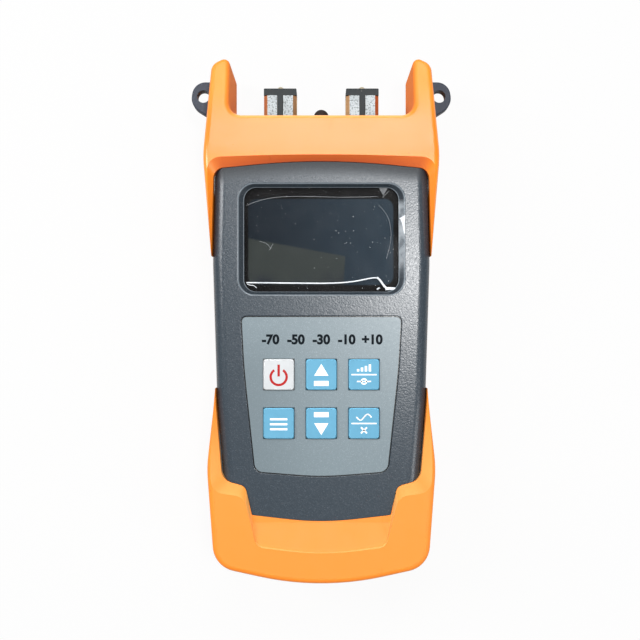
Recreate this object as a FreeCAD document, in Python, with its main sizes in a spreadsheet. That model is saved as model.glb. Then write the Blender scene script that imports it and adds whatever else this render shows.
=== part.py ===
import FreeCAD, Part
import math
import os
from types import SimpleNamespace

import Sketcher

# Handheld optical power meter lying on its back.
# +Z points out of its face, +Y towards its two fibre ports, +X to its right.
# The origin is the centre of the outline, on the surface that it lies on.

Vector = FreeCAD.Vector

sizes = {
    # soft boot: outline
    "sole_drop": 26.05,
    "bar_width": 18.3,
    "horn_length": 23.0,
    "horn_width": 7.2,
    "horn_inset": 2.4,
    "horn_drop": 3.6,
    "horn_tip_round": 2.3,
    "horn_side_round": 4.6,
    "horn_root_round": 5.0,
    "shoulder_drop": 16.2,
    "shoulder_round": 45.0,
    "waist_inset": 6.3,
    "waist_drop": 76.0,
    "waist_round": 250.0,
    "hip_inset": 1.5,
    "hip_rise": 44.25,
    "hip_round": 50.0,
    "sole_inset": 2.8,
    "sole_rise": 9.0,
    "sole_corner_round": 10.0,
    "sole_round": 110.0,
    # soft boot: depth and walls
    "boot_depth": 43.0,
    "boot_wall": 2.6,
    "boot_back": 2.5,
    "back_round": 4.6,
    "front_round": 2.2,
    "horn_back": 5.0,
    "horn_back_round": 1.6,
    "bar_slope_drop": 4.0,
    "bar_bend_start": 2.0,
    "bar_bend_round": 50.0,
    # face of the front shell
    "face_sunk": 2.5,
    "face_arch": 2.8,
    "face_arch_round": 260.0,
    "face_side_round": 80.0,
    "face_margin": 4.2,
    "face_swell": 0.9,
    "face_taper_drop": 38.4,
    "face_waist_inset": 0.8,
    "face_waist_rise": 42.2,
    "face_low_margin": 5.9,
    "face_shoulder_rise": 13.4,
    "face_foot_inset": 8.9,
    "face_foot_drop": 2.4,
    "seam_y": -74.2,
    "seam_inset": 2.5,
    "seam_arch": 3.0,
    "face_corner_round": 4.0,
    "face_edge_round": 4.5,
    "face_shoulder_round": 5.0,
    "face_foot_round": 3.5,
    "seam_corner_round": 0.4,
    # lip and tongue of the boot round the face
    "lip_top": 2.6,
    "lip_top_arch": 1.0,
    "lip_arch_round": 820.0,
    "lip_side": 2.5,
    "lip_corner_round": 5.5,
    "lip_shoulder": 4.2,
    "lip_foot": 3.8,
    "tongue_end": 10.8,
    "tongue_rise": 2.3,
    "tongue_inset": 1.6,
    "tongue_corner_round": 3.5,
    "lip_swell": 0.1,
    "lip_waist_inset": 0.5,
    "lip_low_inset": 1.2,
    "lip_shoulder_round": 6.0,
    "lip_foot_side": 0.5,
    "lip_foot_round": 5.0,
    "lip_end": 1.1,
    "lip_end_inset": 1.8,
    "lip_end_round": 4.0,
    # shells
    "fit_gap": 0.2,
    "hairline": 0.01,
    "overshoot": 1.0,
    "shell_back": 2.0,
    "shell_wall": 2.0,
    "face_wall": 2.2,
    "split_drop": 7.5,
    "ledge_drop": 3.5,
    "column_side_gap": 1.2,
    "column_upper_drop": 8.4,
    "column_lower_rise": 10.4,
    "column_radius": 3.0,
    "case_screw_radius": 1.4,
    "case_screw_head_radius": 2.5,
    "case_screw_head": 2.0,
    "case_screw_seat": 7.0,
    "case_screw_hold": 3.0,
    # display
    "window_half_width": 29.7,
    "window_half_height": 20.0,
    "window_side_margin": 11.3,
    "window_top_margin": 8.2,
    "window_bevel_side": 2.3,
    "window_bevel_end": 1.4,
    "window_corner": 4.8,
    "window_land": 0.3,
    "window_rim_round": 0.6,
    "lens_border": 1.3,
    "lens_thick": 1.4,
    "film_thick": 0.12,
    # keypad
    "panel_thick": 1.0,
    "panel_length": 58.9,
    "panel_above_seam": 16.6,
    "panel_below_window": 8.4,
    "panel_side": 0.7,
    "panel_taper": 1.0,
    "panel_mid_drop": 19.3,
    "panel_low_taper": 4.2,
    "panel_sag": 2.0,
    "panel_corner": 3.4,
    "panel_proud": 0.2,
    "panel_gap": 0.45,
    "panel_rim_round": 0.25,
    "key_side": 11.7,
    "key_pitch_x": 16.25,
    "key_pitch_y": 18.6,
    "key_drop": 21.9,
    "key_height": 1.0,
    "key_corner": 1.2,
    "key_crown": 0.4,
    "key_wall": 1.3,
    "key_flange": 1.2,
    "key_flange_width": 0.8,
    "key_travel": 0.9,
    "key_gap": 0.3,
    "membrane_thick": 1.5,
    "membrane_boss_half": 3.0,
    "membrane_boss": 1.2,
    "pill_radius": 1.6,
    "pill_thick": 0.4,
    "pill_gap": 0.9,
    # main board
    "board_side_gap": 1.2,
    "board_top_drop": 2.4,
    "board_bottom_rise": 6.2,
    "board_thick": 1.6,
    "board_post_inset": 5.0,
    "board_post_drop": 2.8,
    "board_post_lower_inset": 11.0,
    "board_post_rise": 4.5,
    "board_post_radius": 2.4,
    "board_screw_radius": 1.0,
    "board_screw_head_radius": 2.0,
    "board_screw_head": 1.4,
    "board_screw_length": 3.4,
    # fibre ports
    "port_half_pitch": 16.25,
    "port_drop": 9.0,
    "adapter_half_width": 6.45,
    "adapter_half_depth": 4.65,
    "adapter_chamfer": 1.4,
    "adapter_reach": 10.2,
    "adapter_length": 31.2,
    "socket_half_width": 4.6,
    "socket_half_depth": 3.4,
    "socket_depth": 23.2,
    "keyway_half": 1.2,
    "flange_half_width": 8.7,
    "flange_half_depth": 6.4,
    "flange_thick": 2.0,
    "sleeve_radius": 1.6,
    "sleeve_bore": 1.25,
    "sleeve_length": 11.0,
    "detector_radius": 4.4,
    "detector_length": 10.0,
    # dust caps
    "cap_seat": 0.05,
    "cap_thick": 2.75,
    "cap_plug_length": 6.0,
    "cap_gap": 0.3,
    "cap_key_length": 8.6,
    "cap_key_half": 1.0,
    "cap_sink": 0.5,
    "cap_round": 0.5,
    "rivet_radius": 1.35,
    "rivet_collar": 1.9,
    "rivet_collar_height": 0.35,
    # port plate
    "plate_half_width": 31.0,
    "plate_half_depth": 8.0,
    "plate_hole_inset": 3.0,
    "plate_thick": 1.5,
    "plate_screw_half": 28.0,
    "plate_screw_depth": 4.6,
    "plate_screw_radius": 1.1,
    "plate_screw_head_radius": 2.1,
    "plate_screw_head": 1.3,
    "plate_boss_radius": 2.6,
    # charging socket and its bung
    "jack_radius": 4.0,
    "jack_bore": 2.8,
    "jack_flange": 5.4,
    "jack_length": 13.4,
    "jack_depth": 9.0,
    "jack_pin": 1.0,
    "jack_pin_sunk": 1.0,
    "bung_radius": 3.0,
    "bung_reach": 8.3,
    "bung_flange": 4.6,
    "bung_flange_thick": 1.2,
    "bung_plug_length": 6.0,
    # strap lugs
    "lug_root_inset": 3.0,
    "lug_root_width": 3.4,
    "lug_reach": 10.4,
    "lug_above_bar": 0.6,
    "lug_length": 16.0,
    "lug_thick": 5.0,
    "lug_drop": 4.5,
    "lug_hole_radius": 2.5,
    "lug_hole_inset": 5.2,
    "lug_hole_drop": 5.8,
    "lug_nose_drop": 9.4,
    "lug_nose_inset": 1.4,
    "lug_nose_round": 6.0,
    "lug_top_round": 5.4,
    "lug_root_round": 0.5,
    "lug_low_round": 1.0,
    "lug_edge_round": 0.6,
    "lug_stem_lap": 1.0,
    # battery bay
    "cell_radius": 7.25,
    "cell_length": 49.2,
    "cell_nub_radius": 2.75,
    "cell_nub": 1.3,
    "cell_space": 0.5,
    "cell_seat": 0.45,
    "bay_rise": 8.2,
    "bay_clearance": 0.4,
    "bay_wall": 1.6,
    "contact_plate": 0.5,
    "contact_reach": 3.0,
    "contact_tip_half": 1.0,
    "contact_half": 3.0,
    "contact_half_height": 5.0,
    "cover_thick": 2.0,
    "cover_overlap": 3.0,
    "cover_gap": 0.4,
    "cover_sunk": 0.5,
    "cover_frame": 2.0,
    "cover_frame_wall": 1.4,
    "cover_corner": 2.5,
    "cover_edge_round": 0.4,
    "cover_grip_radius": 6.0,
    "cover_grip_depth": 0.8,
}


class Size:
    """A length with its value and with the sheet expression that gives it."""

    def __init__(self, value, text):
        self.value = float(value)
        self.text = text

    def __add__(self, other):
        other = toSize(other)
        return Size(self.value + other.value, f"({self.text} + {other.text})")

    def __radd__(self, other):
        return toSize(other) + self

    def __sub__(self, other):
        other = toSize(other)
        return Size(self.value - other.value, f"({self.text} - {other.text})")

    def __rsub__(self, other):
        return toSize(other) - self

    def __mul__(self, other):
        other = toSize(other)
        return Size(self.value * other.value, f"({self.text} * {other.text})")

    def __rmul__(self, other):
        return toSize(other) * self

    def __neg__(self):
        return Size(-self.value, f"(0 - {self.text})")

    def __float__(self):
        return self.value


def toSize(number):
    if isinstance(number, Size):
        return number
    return Size(number, repr(float(number)))


doc = FreeCAD.newDocument("power_meter")
sheet = doc.addObject("Spreadsheet::Sheet", "sizes")
for row, (name, length) in enumerate(sizes.items(), start=1):
    sheet.set(f"A{row}", name)
    sheet.set(f"B{row}", str(length))
    sheet.setAlias(f"B{row}", name)
doc.recompute()

s = SimpleNamespace(**{name: Size(sheet.get(name), f"sizes.{name}") for name in sizes})

# Heights, from the front of the boot down.
s.face_height = s.boot_depth - s.face_sunk
s.split_height = s.face_height - s.split_drop
s.ledge_height = s.face_height - s.ledge_drop
s.case_screw_end = s.split_height + s.case_screw_hold
s.port_height = s.split_height - s.port_drop
s.lug_height = s.port_height - s.lug_drop
s.cell_height = s.cover_sunk + s.cover_thick + s.cover_frame + s.cell_seat + s.cell_radius

# Places along the face, from the seam up to the tips of the horns.
s.sole_low = s.seam_y - s.sole_drop
s.hip_y = s.sole_low + s.hip_rise
s.face_shoulder_y = s.seam_y + s.face_shoulder_rise
s.face_waist_y = s.seam_y + s.face_waist_rise
s.face_foot_y = s.face_shoulder_y - s.face_foot_drop
s.panel_low_y = s.seam_y + s.panel_above_seam
s.panel_top = s.panel_low_y + s.panel_length
s.panel_mid_y = s.panel_top - s.panel_mid_drop
s.key_upper_y = s.panel_top - s.key_drop
s.key_lower_y = s.key_upper_y - s.key_pitch_y
s.window_y = s.panel_top + s.panel_below_window + s.window_bevel_end + s.window_half_height
s.face_top = s.window_y + s.window_half_height + s.window_bevel_end + s.window_top_margin
s.face_taper_y = s.face_top - s.face_taper_drop
s.bar_top = s.face_top + s.bar_width
s.shoulder_y = s.bar_top - s.shoulder_drop
s.waist_y = s.shoulder_y - s.waist_drop
s.horn_tip = s.bar_top + s.horn_length
s.lug_bottom = s.bar_top + s.lug_above_bar
s.lug_top = s.lug_bottom + s.lug_length
s.lug_hole_y = s.lug_top - s.lug_hole_drop
s.column_upper_y = s.face_top - s.column_upper_drop
s.column_lower_y = s.face_shoulder_y + s.column_lower_rise
s.board_top = s.face_top - s.board_top_drop
s.board_bottom = s.seam_y + s.board_bottom_rise
s.board_post_upper_y = s.board_top - s.board_post_drop
s.board_post_lower_y = s.board_bottom + s.board_post_rise
s.bay_low = s.seam_y + s.bay_rise

# Half widths, from the display outwards.
s.column_half = s.window_half_width + s.lens_border + s.column_radius + s.column_side_gap
s.board_half = s.column_half - s.column_radius - s.board_side_gap
s.board_post_half = s.board_half - s.board_post_inset
s.board_post_lower_half = s.board_half - s.board_post_lower_inset
s.panel_half = s.window_half_width + s.panel_side
s.panel_mid_half = s.panel_half - s.panel_taper
s.panel_low_half = s.panel_mid_half - s.panel_low_taper
s.face_half = s.window_half_width + s.window_side_margin
s.shoulder_half = s.face_half + s.face_margin
s.face_waist_half = s.face_half - s.face_waist_inset
s.waist_half = s.shoulder_half - s.waist_inset
s.hip_half = s.shoulder_half - s.hip_inset
s.sole_half = s.hip_half - s.sole_inset
s.face_low_half = s.hip_half - s.face_low_margin
s.face_foot_half = s.face_low_half - s.face_foot_inset
s.seam_half = s.face_foot_half - s.seam_inset
s.horn_outer = s.shoulder_half - s.horn_inset
s.horn_gap_half = s.horn_outer - s.horn_width
s.lug_root_inner = s.horn_gap_half + s.lug_root_inset
s.lug_root_outer = s.lug_root_inner + s.lug_root_width
s.lug_outer = s.lug_root_outer + s.lug_reach
s.lug_hole_x = s.lug_outer - s.lug_hole_inset
s.cell_pitch = 2 * s.cell_radius + s.cell_space

# Ports, from the top bar of the boot.
s.adapter_top = s.bar_top + s.adapter_reach
s.adapter_bottom = s.adapter_top - s.adapter_length
s.socket_floor = s.adapter_top - s.socket_depth
s.sleeve_top = s.socket_floor + s.sleeve_length
s.cap_low = s.adapter_top + s.cap_seat
s.cap_top = s.cap_low + s.cap_thick
s.shell_top = s.bar_top - s.boot_wall - s.fit_gap
s.jack_bottom = s.shell_top - s.jack_length
s.bung_top = s.shell_top + s.bung_reach

n = SimpleNamespace(**{name: float(length) for name, length in vars(s).items()})

finished = []

# Heights that several pieces share.
shellInside = s.boot_back + s.shell_back
wallUnder = s.face_height - s.face_wall
membraneTop = wallUnder - s.key_flange - s.key_travel - s.key_gap
boardFace = membraneTop - s.membrane_thick
boardBack = boardFace - s.board_thick
lensBack = wallUnder - s.lens_thick
panelFloor = s.face_height + s.panel_proud - s.panel_thick
keyTop = s.face_height + s.panel_proud + s.key_height

# Places along Y that several pieces share.
wallInside = s.shell_top - s.shell_wall
flangeBottom = wallInside - s.flange_thick
plateBottom = flangeBottom - s.plate_thick
plateScrewTip = wallInside + s.shell_wall * 0.5
bayHigh = s.bay_low + s.cell_length + s.cell_nub + 2 * s.contact_plate + 2 * s.contact_reach
bayHalf = s.cell_pitch + s.cell_radius + s.bay_clearance
bayTop = s.cell_height + s.cell_radius + s.bay_clearance
cellLow = s.bay_low + s.contact_plate + s.contact_reach

keyColumns = {"left": -s.key_pitch_x, "middle": toSize(0), "right": s.key_pitch_x}
keyRows = {"upper": s.key_upper_y, "lower": s.key_lower_y}


# ---- binding helpers -------------------------------------------------------

def bind(obj, prop, length):
    obj.setExpression(prop, toSize(length).text)


def place(obj, x, y, z):
    bind(obj, "Placement.Base.x", x)
    bind(obj, "Placement.Base.y", y)
    bind(obj, "Placement.Base.z", z)


def turn(obj, axis, degrees):
    obj.Placement = FreeCAD.Placement(Vector(0, 0, 0), FreeCAD.Rotation(axis, degrees))


def block(name, xs, ys, zs):
    box = doc.addObject("Part::Box", name)
    bind(box, "Length", toSize(xs[1]) - xs[0])
    bind(box, "Width", toSize(ys[1]) - ys[0])
    bind(box, "Height", toSize(zs[1]) - zs[0])
    place(box, xs[0], ys[0], zs[0])
    return box


def rod(name, radius, x, y, z0, z1):
    """Cylinder along Z."""
    cylinder = doc.addObject("Part::Cylinder", name)
    bind(cylinder, "Radius", radius)
    bind(cylinder, "Height", toSize(z1) - z0)
    place(cylinder, x, y, z0)
    return cylinder


def rodAlongY(name, radius, x, z, y0, y1):
    cylinder = doc.addObject("Part::Cylinder", name)
    bind(cylinder, "Radius", radius)
    bind(cylinder, "Height", toSize(y1) - y0)
    turn(cylinder, Vector(1, 0, 0), -90)
    place(cylinder, x, y0, z)
    return cylinder


def fuse(name, shapes):
    union = doc.addObject("Part::MultiFuse", name)
    union.Shapes = shapes
    return union


def cut(name, base, tools):
    result = doc.addObject("Part::Cut", name)
    result.Base = base
    result.Tool = tools[0] if len(tools) == 1 else fuse(f"{name}_tools", tools)
    return result


def finish(obj, label):
    obj.Label = label
    finished.append(obj)
    return obj


def freeForm(shape, label):
    feature = doc.addObject("Part::Feature", label)
    feature.Shape = shape
    return finish(feature, label)


def originPlane(body, role):
    return [item for item in body.Origin.OriginFeatures if item.Role == role][0]


def sketchOn(body, name, role, offset):
    sketch = body.newObject("Sketcher::SketchObject", name)
    sketch.AttachmentSupport = [(originPlane(body, role), "")]
    sketch.MapMode = "FlatFace"
    bind(sketch, "AttachmentOffset.Base.z", offset)
    return sketch


def pin(sketch, geometry, point, x, y):
    """Fix a point of a sketch at bound distances from the sketch's origin."""
    for kind, length in (("DistanceX", x), ("DistanceY", y)):
        length = toSize(length)
        index = sketch.addConstraint(Sketcher.Constraint(kind, -1, 1, geometry, point, length.value))
        sketch.setExpression(f"Constraints[{index}]", length.text)


def polygon(sketch, corners):
    first = sketch.GeometryCount
    count = len(corners)
    ends = [Vector(float(x), float(y), 0) for x, y in corners]
    for index in range(count):
        sketch.addGeometry(Part.LineSegment(ends[index], ends[(index + 1) % count]), False)
    for index in range(count):
        following = first + (index + 1) % count
        sketch.addConstraint(Sketcher.Constraint("Coincident", first + index, 2, following, 1))
    for index, (x, y) in enumerate(corners):
        pin(sketch, first + index, 1, x, y)


def rectangle(sketch, xs, ys):
    polygon(sketch, [(xs[0], ys[0]), (xs[1], ys[0]), (xs[1], ys[1]), (xs[0], ys[1])])


def circle(sketch, x, y, radius):
    geometry = sketch.addGeometry(Part.Circle(Vector(float(x), float(y), 0), Vector(0, 0, 1), float(radius)))
    pin(sketch, geometry, 3, x, y)
    index = sketch.addConstraint(Sketcher.Constraint("Radius", geometry, float(radius)))
    sketch.setExpression(f"Constraints[{index}]", toSize(radius).text)


def pad(body, sketch, length, backwards=False):
    feature = body.newObject("PartDesign::Pad", f"{sketch.Name}_pad")
    feature.Profile = sketch
    bind(feature, "Length", length)
    feature.Reversed = backwards
    return feature


def pocket(body, sketch, length, backwards=False):
    feature = body.newObject("PartDesign::Pocket", f"{sketch.Name}_pocket")
    feature.Profile = sketch
    bind(feature, "Length", length)
    feature.Reversed = backwards
    return feature


def roundEdges(body, name, wanted, radius):
    """Fillet the edges of the body's last feature that the given test picks."""
    doc.recompute()
    base = body.Tip
    names = [f"Edge{i}" for i, edge in enumerate(base.Shape.Edges, start=1) if wanted(edge)]
    fillet = body.newObject("PartDesign::Fillet", name)
    fillet.Base = (base, names)
    bind(fillet, "Radius", radius)
    return fillet


def isAlong(edge, axis):
    if edge.Curve.TypeId != "Part::GeomLine":
        return False
    return abs(edge.tangentAt(edge.FirstParameter).dot(axis)) > 0.99


def isAtHeight(edge, height):
    box = edge.BoundBox
    return abs(box.ZMin - float(height)) < 1e-4 and abs(box.ZMax - float(height)) < 1e-4


# ---- outlines --------------------------------------------------------------

def mirrored(left):
    """Close a left-hand outline that runs from the top to the bottom."""
    right = [(-x, y, radius) for x, y, radius in reversed(left) if x != 0]
    return left + right


def roundedWire(points, height):
    """Closed wire through corners (x, y, radius), each rounded by a tangent arc."""
    edges = []
    joints = []
    for index, (x, y, radius) in enumerate(points):
        here = Vector(x, y, height)
        before = Vector(points[index - 1][0], points[index - 1][1], height)
        after = Vector(points[(index + 1) % len(points)][0], points[(index + 1) % len(points)][1], height)
        arriving = (here - before).normalize()
        leaving = (after - here).normalize()
        halfTurn = math.acos(max(-1, min(1, arriving.dot(leaving)))) / 2
        reach = radius * math.tan(halfTurn)
        inward = (leaving - arriving).normalize()
        middle = here + inward * (radius / math.cos(halfTurn) - radius)
        joints.append((here - arriving * reach, middle, here + leaving * reach))
    for index, (start, middle, end) in enumerate(joints):
        edges.append(Part.Arc(start, middle, end).toShape())
        edges.append(Part.LineSegment(end, joints[(index + 1) % len(joints)][0]).toShape())
    return Part.Wire(edges)


def prism(wire, low, high):
    face = Part.Face(wire)
    face.translate(Vector(0, 0, low - wire.BoundBox.ZMin))
    return face.extrude(Vector(0, 0, high - low))


def inset(wire, distance):
    return wire.makeOffset2D(-distance)


def box(xs, ys, zs):
    xs, ys, zs = [[float(value) for value in pair] for pair in (xs, ys, zs)]
    return Part.makeBox(xs[1] - xs[0], ys[1] - ys[0], zs[1] - zs[0], Vector(xs[0], ys[0], zs[0]))


def column(radius, x, y, z0, z1):
    z0, z1 = float(z0), float(z1)
    return Part.makeCylinder(float(radius), z1 - z0, Vector(float(x), float(y), z0))


def columnAlongY(radius, x, z, y0, y1):
    y0, y1 = float(y0), float(y1)
    return Part.makeCylinder(float(radius), y1 - y0, Vector(float(x), y0, float(z)), Vector(0, 1, 0))


def bootSide():
    """Left side of the boot from the shoulder down to the middle of the sole."""
    slope = math.atan2(n.sole_rise, n.sole_half)
    soleY = n.sole_low - n.sole_round * (1 / math.cos(slope) - 1)
    return [
        (-n.shoulder_half, n.shoulder_y, n.shoulder_round),
        (-n.waist_half, n.waist_y, n.waist_round),
        (-n.hip_half, n.hip_y, n.hip_round),
        (-n.sole_half, soleY + n.sole_rise, n.sole_corner_round),
        (0, soleY, n.sole_round),
    ]


def hornCorners():
    """Inner and outer corner of the left horn, its rounded tip at horn_tip."""
    width = n.horn_outer - n.horn_gap_half
    slope = math.atan2(n.horn_drop, width)
    rise = n.horn_tip_round * (math.tan(slope) + 1 / math.cos(slope) - 1)
    inner = (-n.horn_gap_half, n.horn_tip + rise, n.horn_tip_round)
    outer = (-n.horn_outer, n.horn_tip + rise - n.horn_drop, n.horn_side_round)
    return inner, outer


def hornedOutline():
    root = (-n.horn_gap_half, n.bar_top, n.horn_root_round)
    inner, outer = hornCorners()
    return roundedWire(mirrored([root, inner, outer] + bootSide()), 0)


def bodyOutline():
    """The boot's outline without its horns."""
    inner, outer = hornCorners()
    side = bootSide()
    along = (outer[1] - n.bar_top) / (outer[1] - side[0][1])
    cornerX = outer[0] + along * (side[0][0] - outer[0])
    return roundedWire(mirrored([(cornerX, n.bar_top, n.sole_corner_round)] + side), 0)


def crown(top, drop, half, radius):
    """Height of the corner whose rounding peaks at top and whose sides fall by drop over half."""
    square = 1 / radius ** 2 - 1 / half ** 2
    slope = 2 / radius - 2 * drop / half ** 2
    root = math.sqrt(slope ** 2 + 4 * square * drop ** 2 / half ** 2)
    return top + (root - slope) / (2 * square)


def archRound(radius, drop, half, corner):
    """The arch's rounding, limited so that it ends where the corner's own rounding begins."""
    return min(radius, (half ** 2 - corner ** 2) / (2 * drop))


def faceLeft(foot):
    bend = archRound(n.face_arch_round, n.face_arch, n.face_half, n.face_corner_round)
    return [
        (0, crown(n.face_top, n.face_arch, n.face_half, bend), bend),
        (-n.face_half, n.face_top - n.face_arch, n.face_corner_round),
        (-n.face_half - n.face_swell, n.face_taper_y, n.face_side_round),
        (-n.face_waist_half, n.face_waist_y, n.face_side_round),
        (-n.face_low_half, n.face_shoulder_y, n.face_shoulder_round),
        (-n.face_foot_half, n.face_foot_y, n.face_foot_round),
    ] + foot


def faceOutline(height, grow=0):
    foot = [(-n.seam_half, n.seam_y, n.seam_corner_round), (0, n.seam_y - n.seam_arch, n.sole_round)]
    wire = roundedWire(mirrored(faceLeft(foot)), height)
    return wire.makeOffset2D(grow) if grow else wire


def faceSides():
    """The face's long sides, run on past its top and its foot."""
    left = faceLeft([])[1:5]
    top = (left[0][0], n.bar_top, n.hairline)
    foot = (left[3][0], n.sole_low, n.hairline)
    return roundedWire(mirrored([top, left[0][:2] + (n.face_side_round,), left[1], left[2],
                                 left[3][:2] + (n.face_side_round,), foot]), 0)


def recessFloor(height):
    low = n.seam_y - n.tongue_end
    foot = [(-n.seam_half + n.tongue_inset, low, n.tongue_corner_round), (0, low - n.seam_arch, n.sole_round)]
    return roundedWire(mirrored(faceLeft(foot)), height)


def lipCrest(height):
    low = n.seam_y - n.tongue_end - n.lip_end
    side = -n.face_half - n.lip_side
    peak = n.face_top + n.lip_top
    bend = archRound(n.lip_arch_round, n.lip_top_arch, -side, n.lip_corner_round)
    return roundedWire(mirrored([
        (0, crown(peak, n.lip_top_arch, -side, bend), bend),
        (side, peak - n.lip_top_arch, n.lip_corner_round),
        (side - n.lip_swell, n.face_taper_y, n.face_side_round),
        (side + n.lip_waist_inset, n.face_waist_y, n.face_side_round),
        (side + n.lip_low_inset, n.face_shoulder_y - n.lip_shoulder, n.lip_shoulder_round),
        (-n.face_foot_half - n.lip_foot_side, n.face_foot_y - n.lip_foot, n.lip_foot_round),
        (-n.seam_half + n.lip_end_inset, low, n.lip_end_round),
        (0, low - n.seam_arch, n.sole_round),
    ]), height)


def aboveTongue():
    """Everything above the ramp of the tongue, which starts flush with the face at its seam."""
    seamLow = n.seam_y - n.seam_arch
    end = seamLow - n.tongue_end - n.lip_end
    left = -n.shoulder_half - n.lug_reach
    corners = [
        Vector(left, n.horn_tip, 0),
        Vector(left, seamLow, 0),
        Vector(left, seamLow, n.face_height),
        Vector(left, end, n.face_height + n.tongue_rise),
        Vector(left, end, 2 * n.boot_depth),
        Vector(left, n.horn_tip, 2 * n.boot_depth),
    ]
    return Part.Face(Part.makePolygon(corners + [corners[0]])).extrude(Vector(-2 * left, 0, 0))


def panelOutline(height, grow=0):
    wire = roundedWire(mirrored([
        (-n.panel_half, n.panel_top, n.panel_corner / 2),
        (-n.panel_mid_half, n.panel_mid_y, n.waist_round),
        (-n.panel_low_half, n.panel_low_y, n.panel_corner),
        (0, n.panel_low_y - n.panel_sag, n.sole_round),
    ]), height)
    return wire.makeOffset2D(grow) if grow else wire


def roundedRectangle(halfWidth, halfHeight, y, radius, height):
    return roundedWire(mirrored([
        (-halfWidth, y + halfHeight, radius),
        (-halfWidth, y - halfHeight, radius),
    ]), height)


def shellOutline():
    return inset(bodyOutline(), n.boot_wall + n.fit_gap)


def coverOutline(grow):
    """Battery cover seen from the back, in the plane of its outer face."""
    half = float(bayHalf + s.cover_overlap) + grow
    middle = float(bayHigh + s.bay_low) / 2
    reach = float(bayHigh - s.bay_low) / 2 + n.cover_overlap + grow
    return roundedRectangle(half, reach, middle, n.cover_corner, 0)


# ---- soft boot -------------------------------------------------------------

def lugRoot(side, grow):
    """The part of a strap lug that is held inside the boot's horn."""
    inner = side * (n.lug_root_inner - grow)
    outer = side * (n.lug_outer + n.lug_reach)
    xs = sorted((inner, outer))
    ys = (n.lug_bottom - grow, n.lug_top + grow)
    zs = (n.lug_height - grow, n.lug_height + n.lug_thick + grow)
    stem = sorted((inner, side * (n.lug_root_outer + grow)))
    return box(xs, ys, zs).fuse(box(stem, (n.shell_top, n.lug_bottom + n.lug_stem_lap), zs))


def beforeBar():
    """Everything in front of the bar and horns, which lean back from the lip in one smooth bend."""
    lean = math.atan2(n.bar_slope_drop, n.bar_width)
    start = n.face_top - n.bar_bend_start
    end = start + n.bar_bend_round * math.sin(lean)

    def bendPoint(angle):
        return Vector(0, start + n.bar_bend_round * math.sin(angle),
                      n.boot_depth - n.bar_bend_round * (1 - math.cos(angle)))

    beyond = n.horn_tip + n.bar_width
    last = Vector(0, beyond, bendPoint(lean).z - (beyond - end) * math.tan(lean))
    above = [Vector(0, beyond, 2 * n.boot_depth), Vector(0, start, 2 * n.boot_depth), bendPoint(0)]
    bend = Part.Arc(bendPoint(0), bendPoint(lean / 2), bendPoint(lean)).toShape()
    sides = [Part.makeLine(bendPoint(lean), last), Part.makeLine(last, above[0])]
    sides += [Part.makeLine(first, second) for first, second in zip(above, above[1:])]
    tool = Part.Face(Part.Wire([bend] + sides)).extrude(Vector(4 * n.shoulder_half, 0, 0))
    tool.translate(Vector(-2 * n.shoulder_half, 0, 0))
    return tool


def makeBoot():
    body = prism(bodyOutline(), 0, n.horn_back)
    rim = [edge for edge in body.Edges if isAtHeight(edge, 0)]
    body = body.makeFillet(n.back_round, rim)
    upper = prism(hornedOutline(), n.horn_back, n.boot_depth)
    boot = body.fuse(upper).cut(beforeBar()).removeSplitter()
    hornFront = n.boot_depth - (n.horn_tip - n.face_top) * n.bar_slope_drop / n.bar_width
    barSide = n.bar_top - n.overshoot
    front = [edge for edge in boot.Edges if edge.BoundBox.ZMin > hornFront - n.front_round
             and (edge.BoundBox.YMax > barSide or edge.BoundBox.YMax - edge.BoundBox.YMin > n.fit_gap)]
    boot = boot.makeFillet(n.front_round, front)
    shell = inset(bodyOutline(), n.boot_wall)
    rimHeight = n.split_height - n.fit_gap
    faceHole = faceOutline(rimHeight, n.fit_gap)
    floor = recessFloor(n.face_height)
    crest = lipCrest(n.boot_depth + n.hairline)
    recess = Part.makeLoft([floor, crest], True, True).common(aboveTongue())
    portHalf = n.plate_half_width - n.plate_hole_inset
    portHole = box((-portHalf, portHalf), (float(wallInside), n.bar_top + n.overshoot),
                   (n.port_height - n.plate_half_depth, n.port_height + n.plate_half_depth))
    tools = [
        prism(shell, n.boot_back, n.ledge_height + n.fit_gap),
        prism(faceHole, rimHeight, n.boot_depth + n.overshoot),
        recess,
        portHole,
        prism(coverOutline(n.cover_gap), -n.overshoot, n.boot_back + n.overshoot),
        lugRoot(-1, n.fit_gap),
        lugRoot(1, n.fit_gap),
    ]
    return boot.cut(tools)


# ---- shells ----------------------------------------------------------------

def caseColumns():
    for side in (-1, 1):
        for y in (n.column_upper_y, n.column_lower_y):
            yield side * n.column_half, y


def boardPosts():
    for side in (-1, 1):
        yield side * n.board_post_half, n.board_post_upper_y
        yield side * n.board_post_lower_half, n.board_post_lower_y


def keyPlaces():
    for y in keyRows.values():
        for x in keyColumns.values():
            yield float(x), float(y)


def windowRim():
    return roundedRectangle(n.window_half_width + n.window_bevel_side, n.window_half_height + n.window_bevel_end,
                            n.window_y, n.window_corner + n.window_bevel_end, n.face_height)


def windowCutter():
    inner = roundedRectangle(n.window_half_width, n.window_half_height, n.window_y, n.window_corner,
                             float(wallUnder) + n.window_land)
    throat = prism(inner, float(wallUnder) - n.overshoot, float(wallUnder) + n.window_land)
    return Part.makeLoft([inner, windowRim()], True, True).fuse(throat)


def roundRim(shell, outline, radius):
    """Round the front edges of a recess that was cut to outline."""
    reach = outline.BoundBox
    reach.enlarge(n.fit_gap)
    rim = [edge for edge in shell.Edges if isAtHeight(edge, n.face_height) and reach.isInside(edge.BoundBox)]
    return shell.makeFillet(radius, rim)


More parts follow.
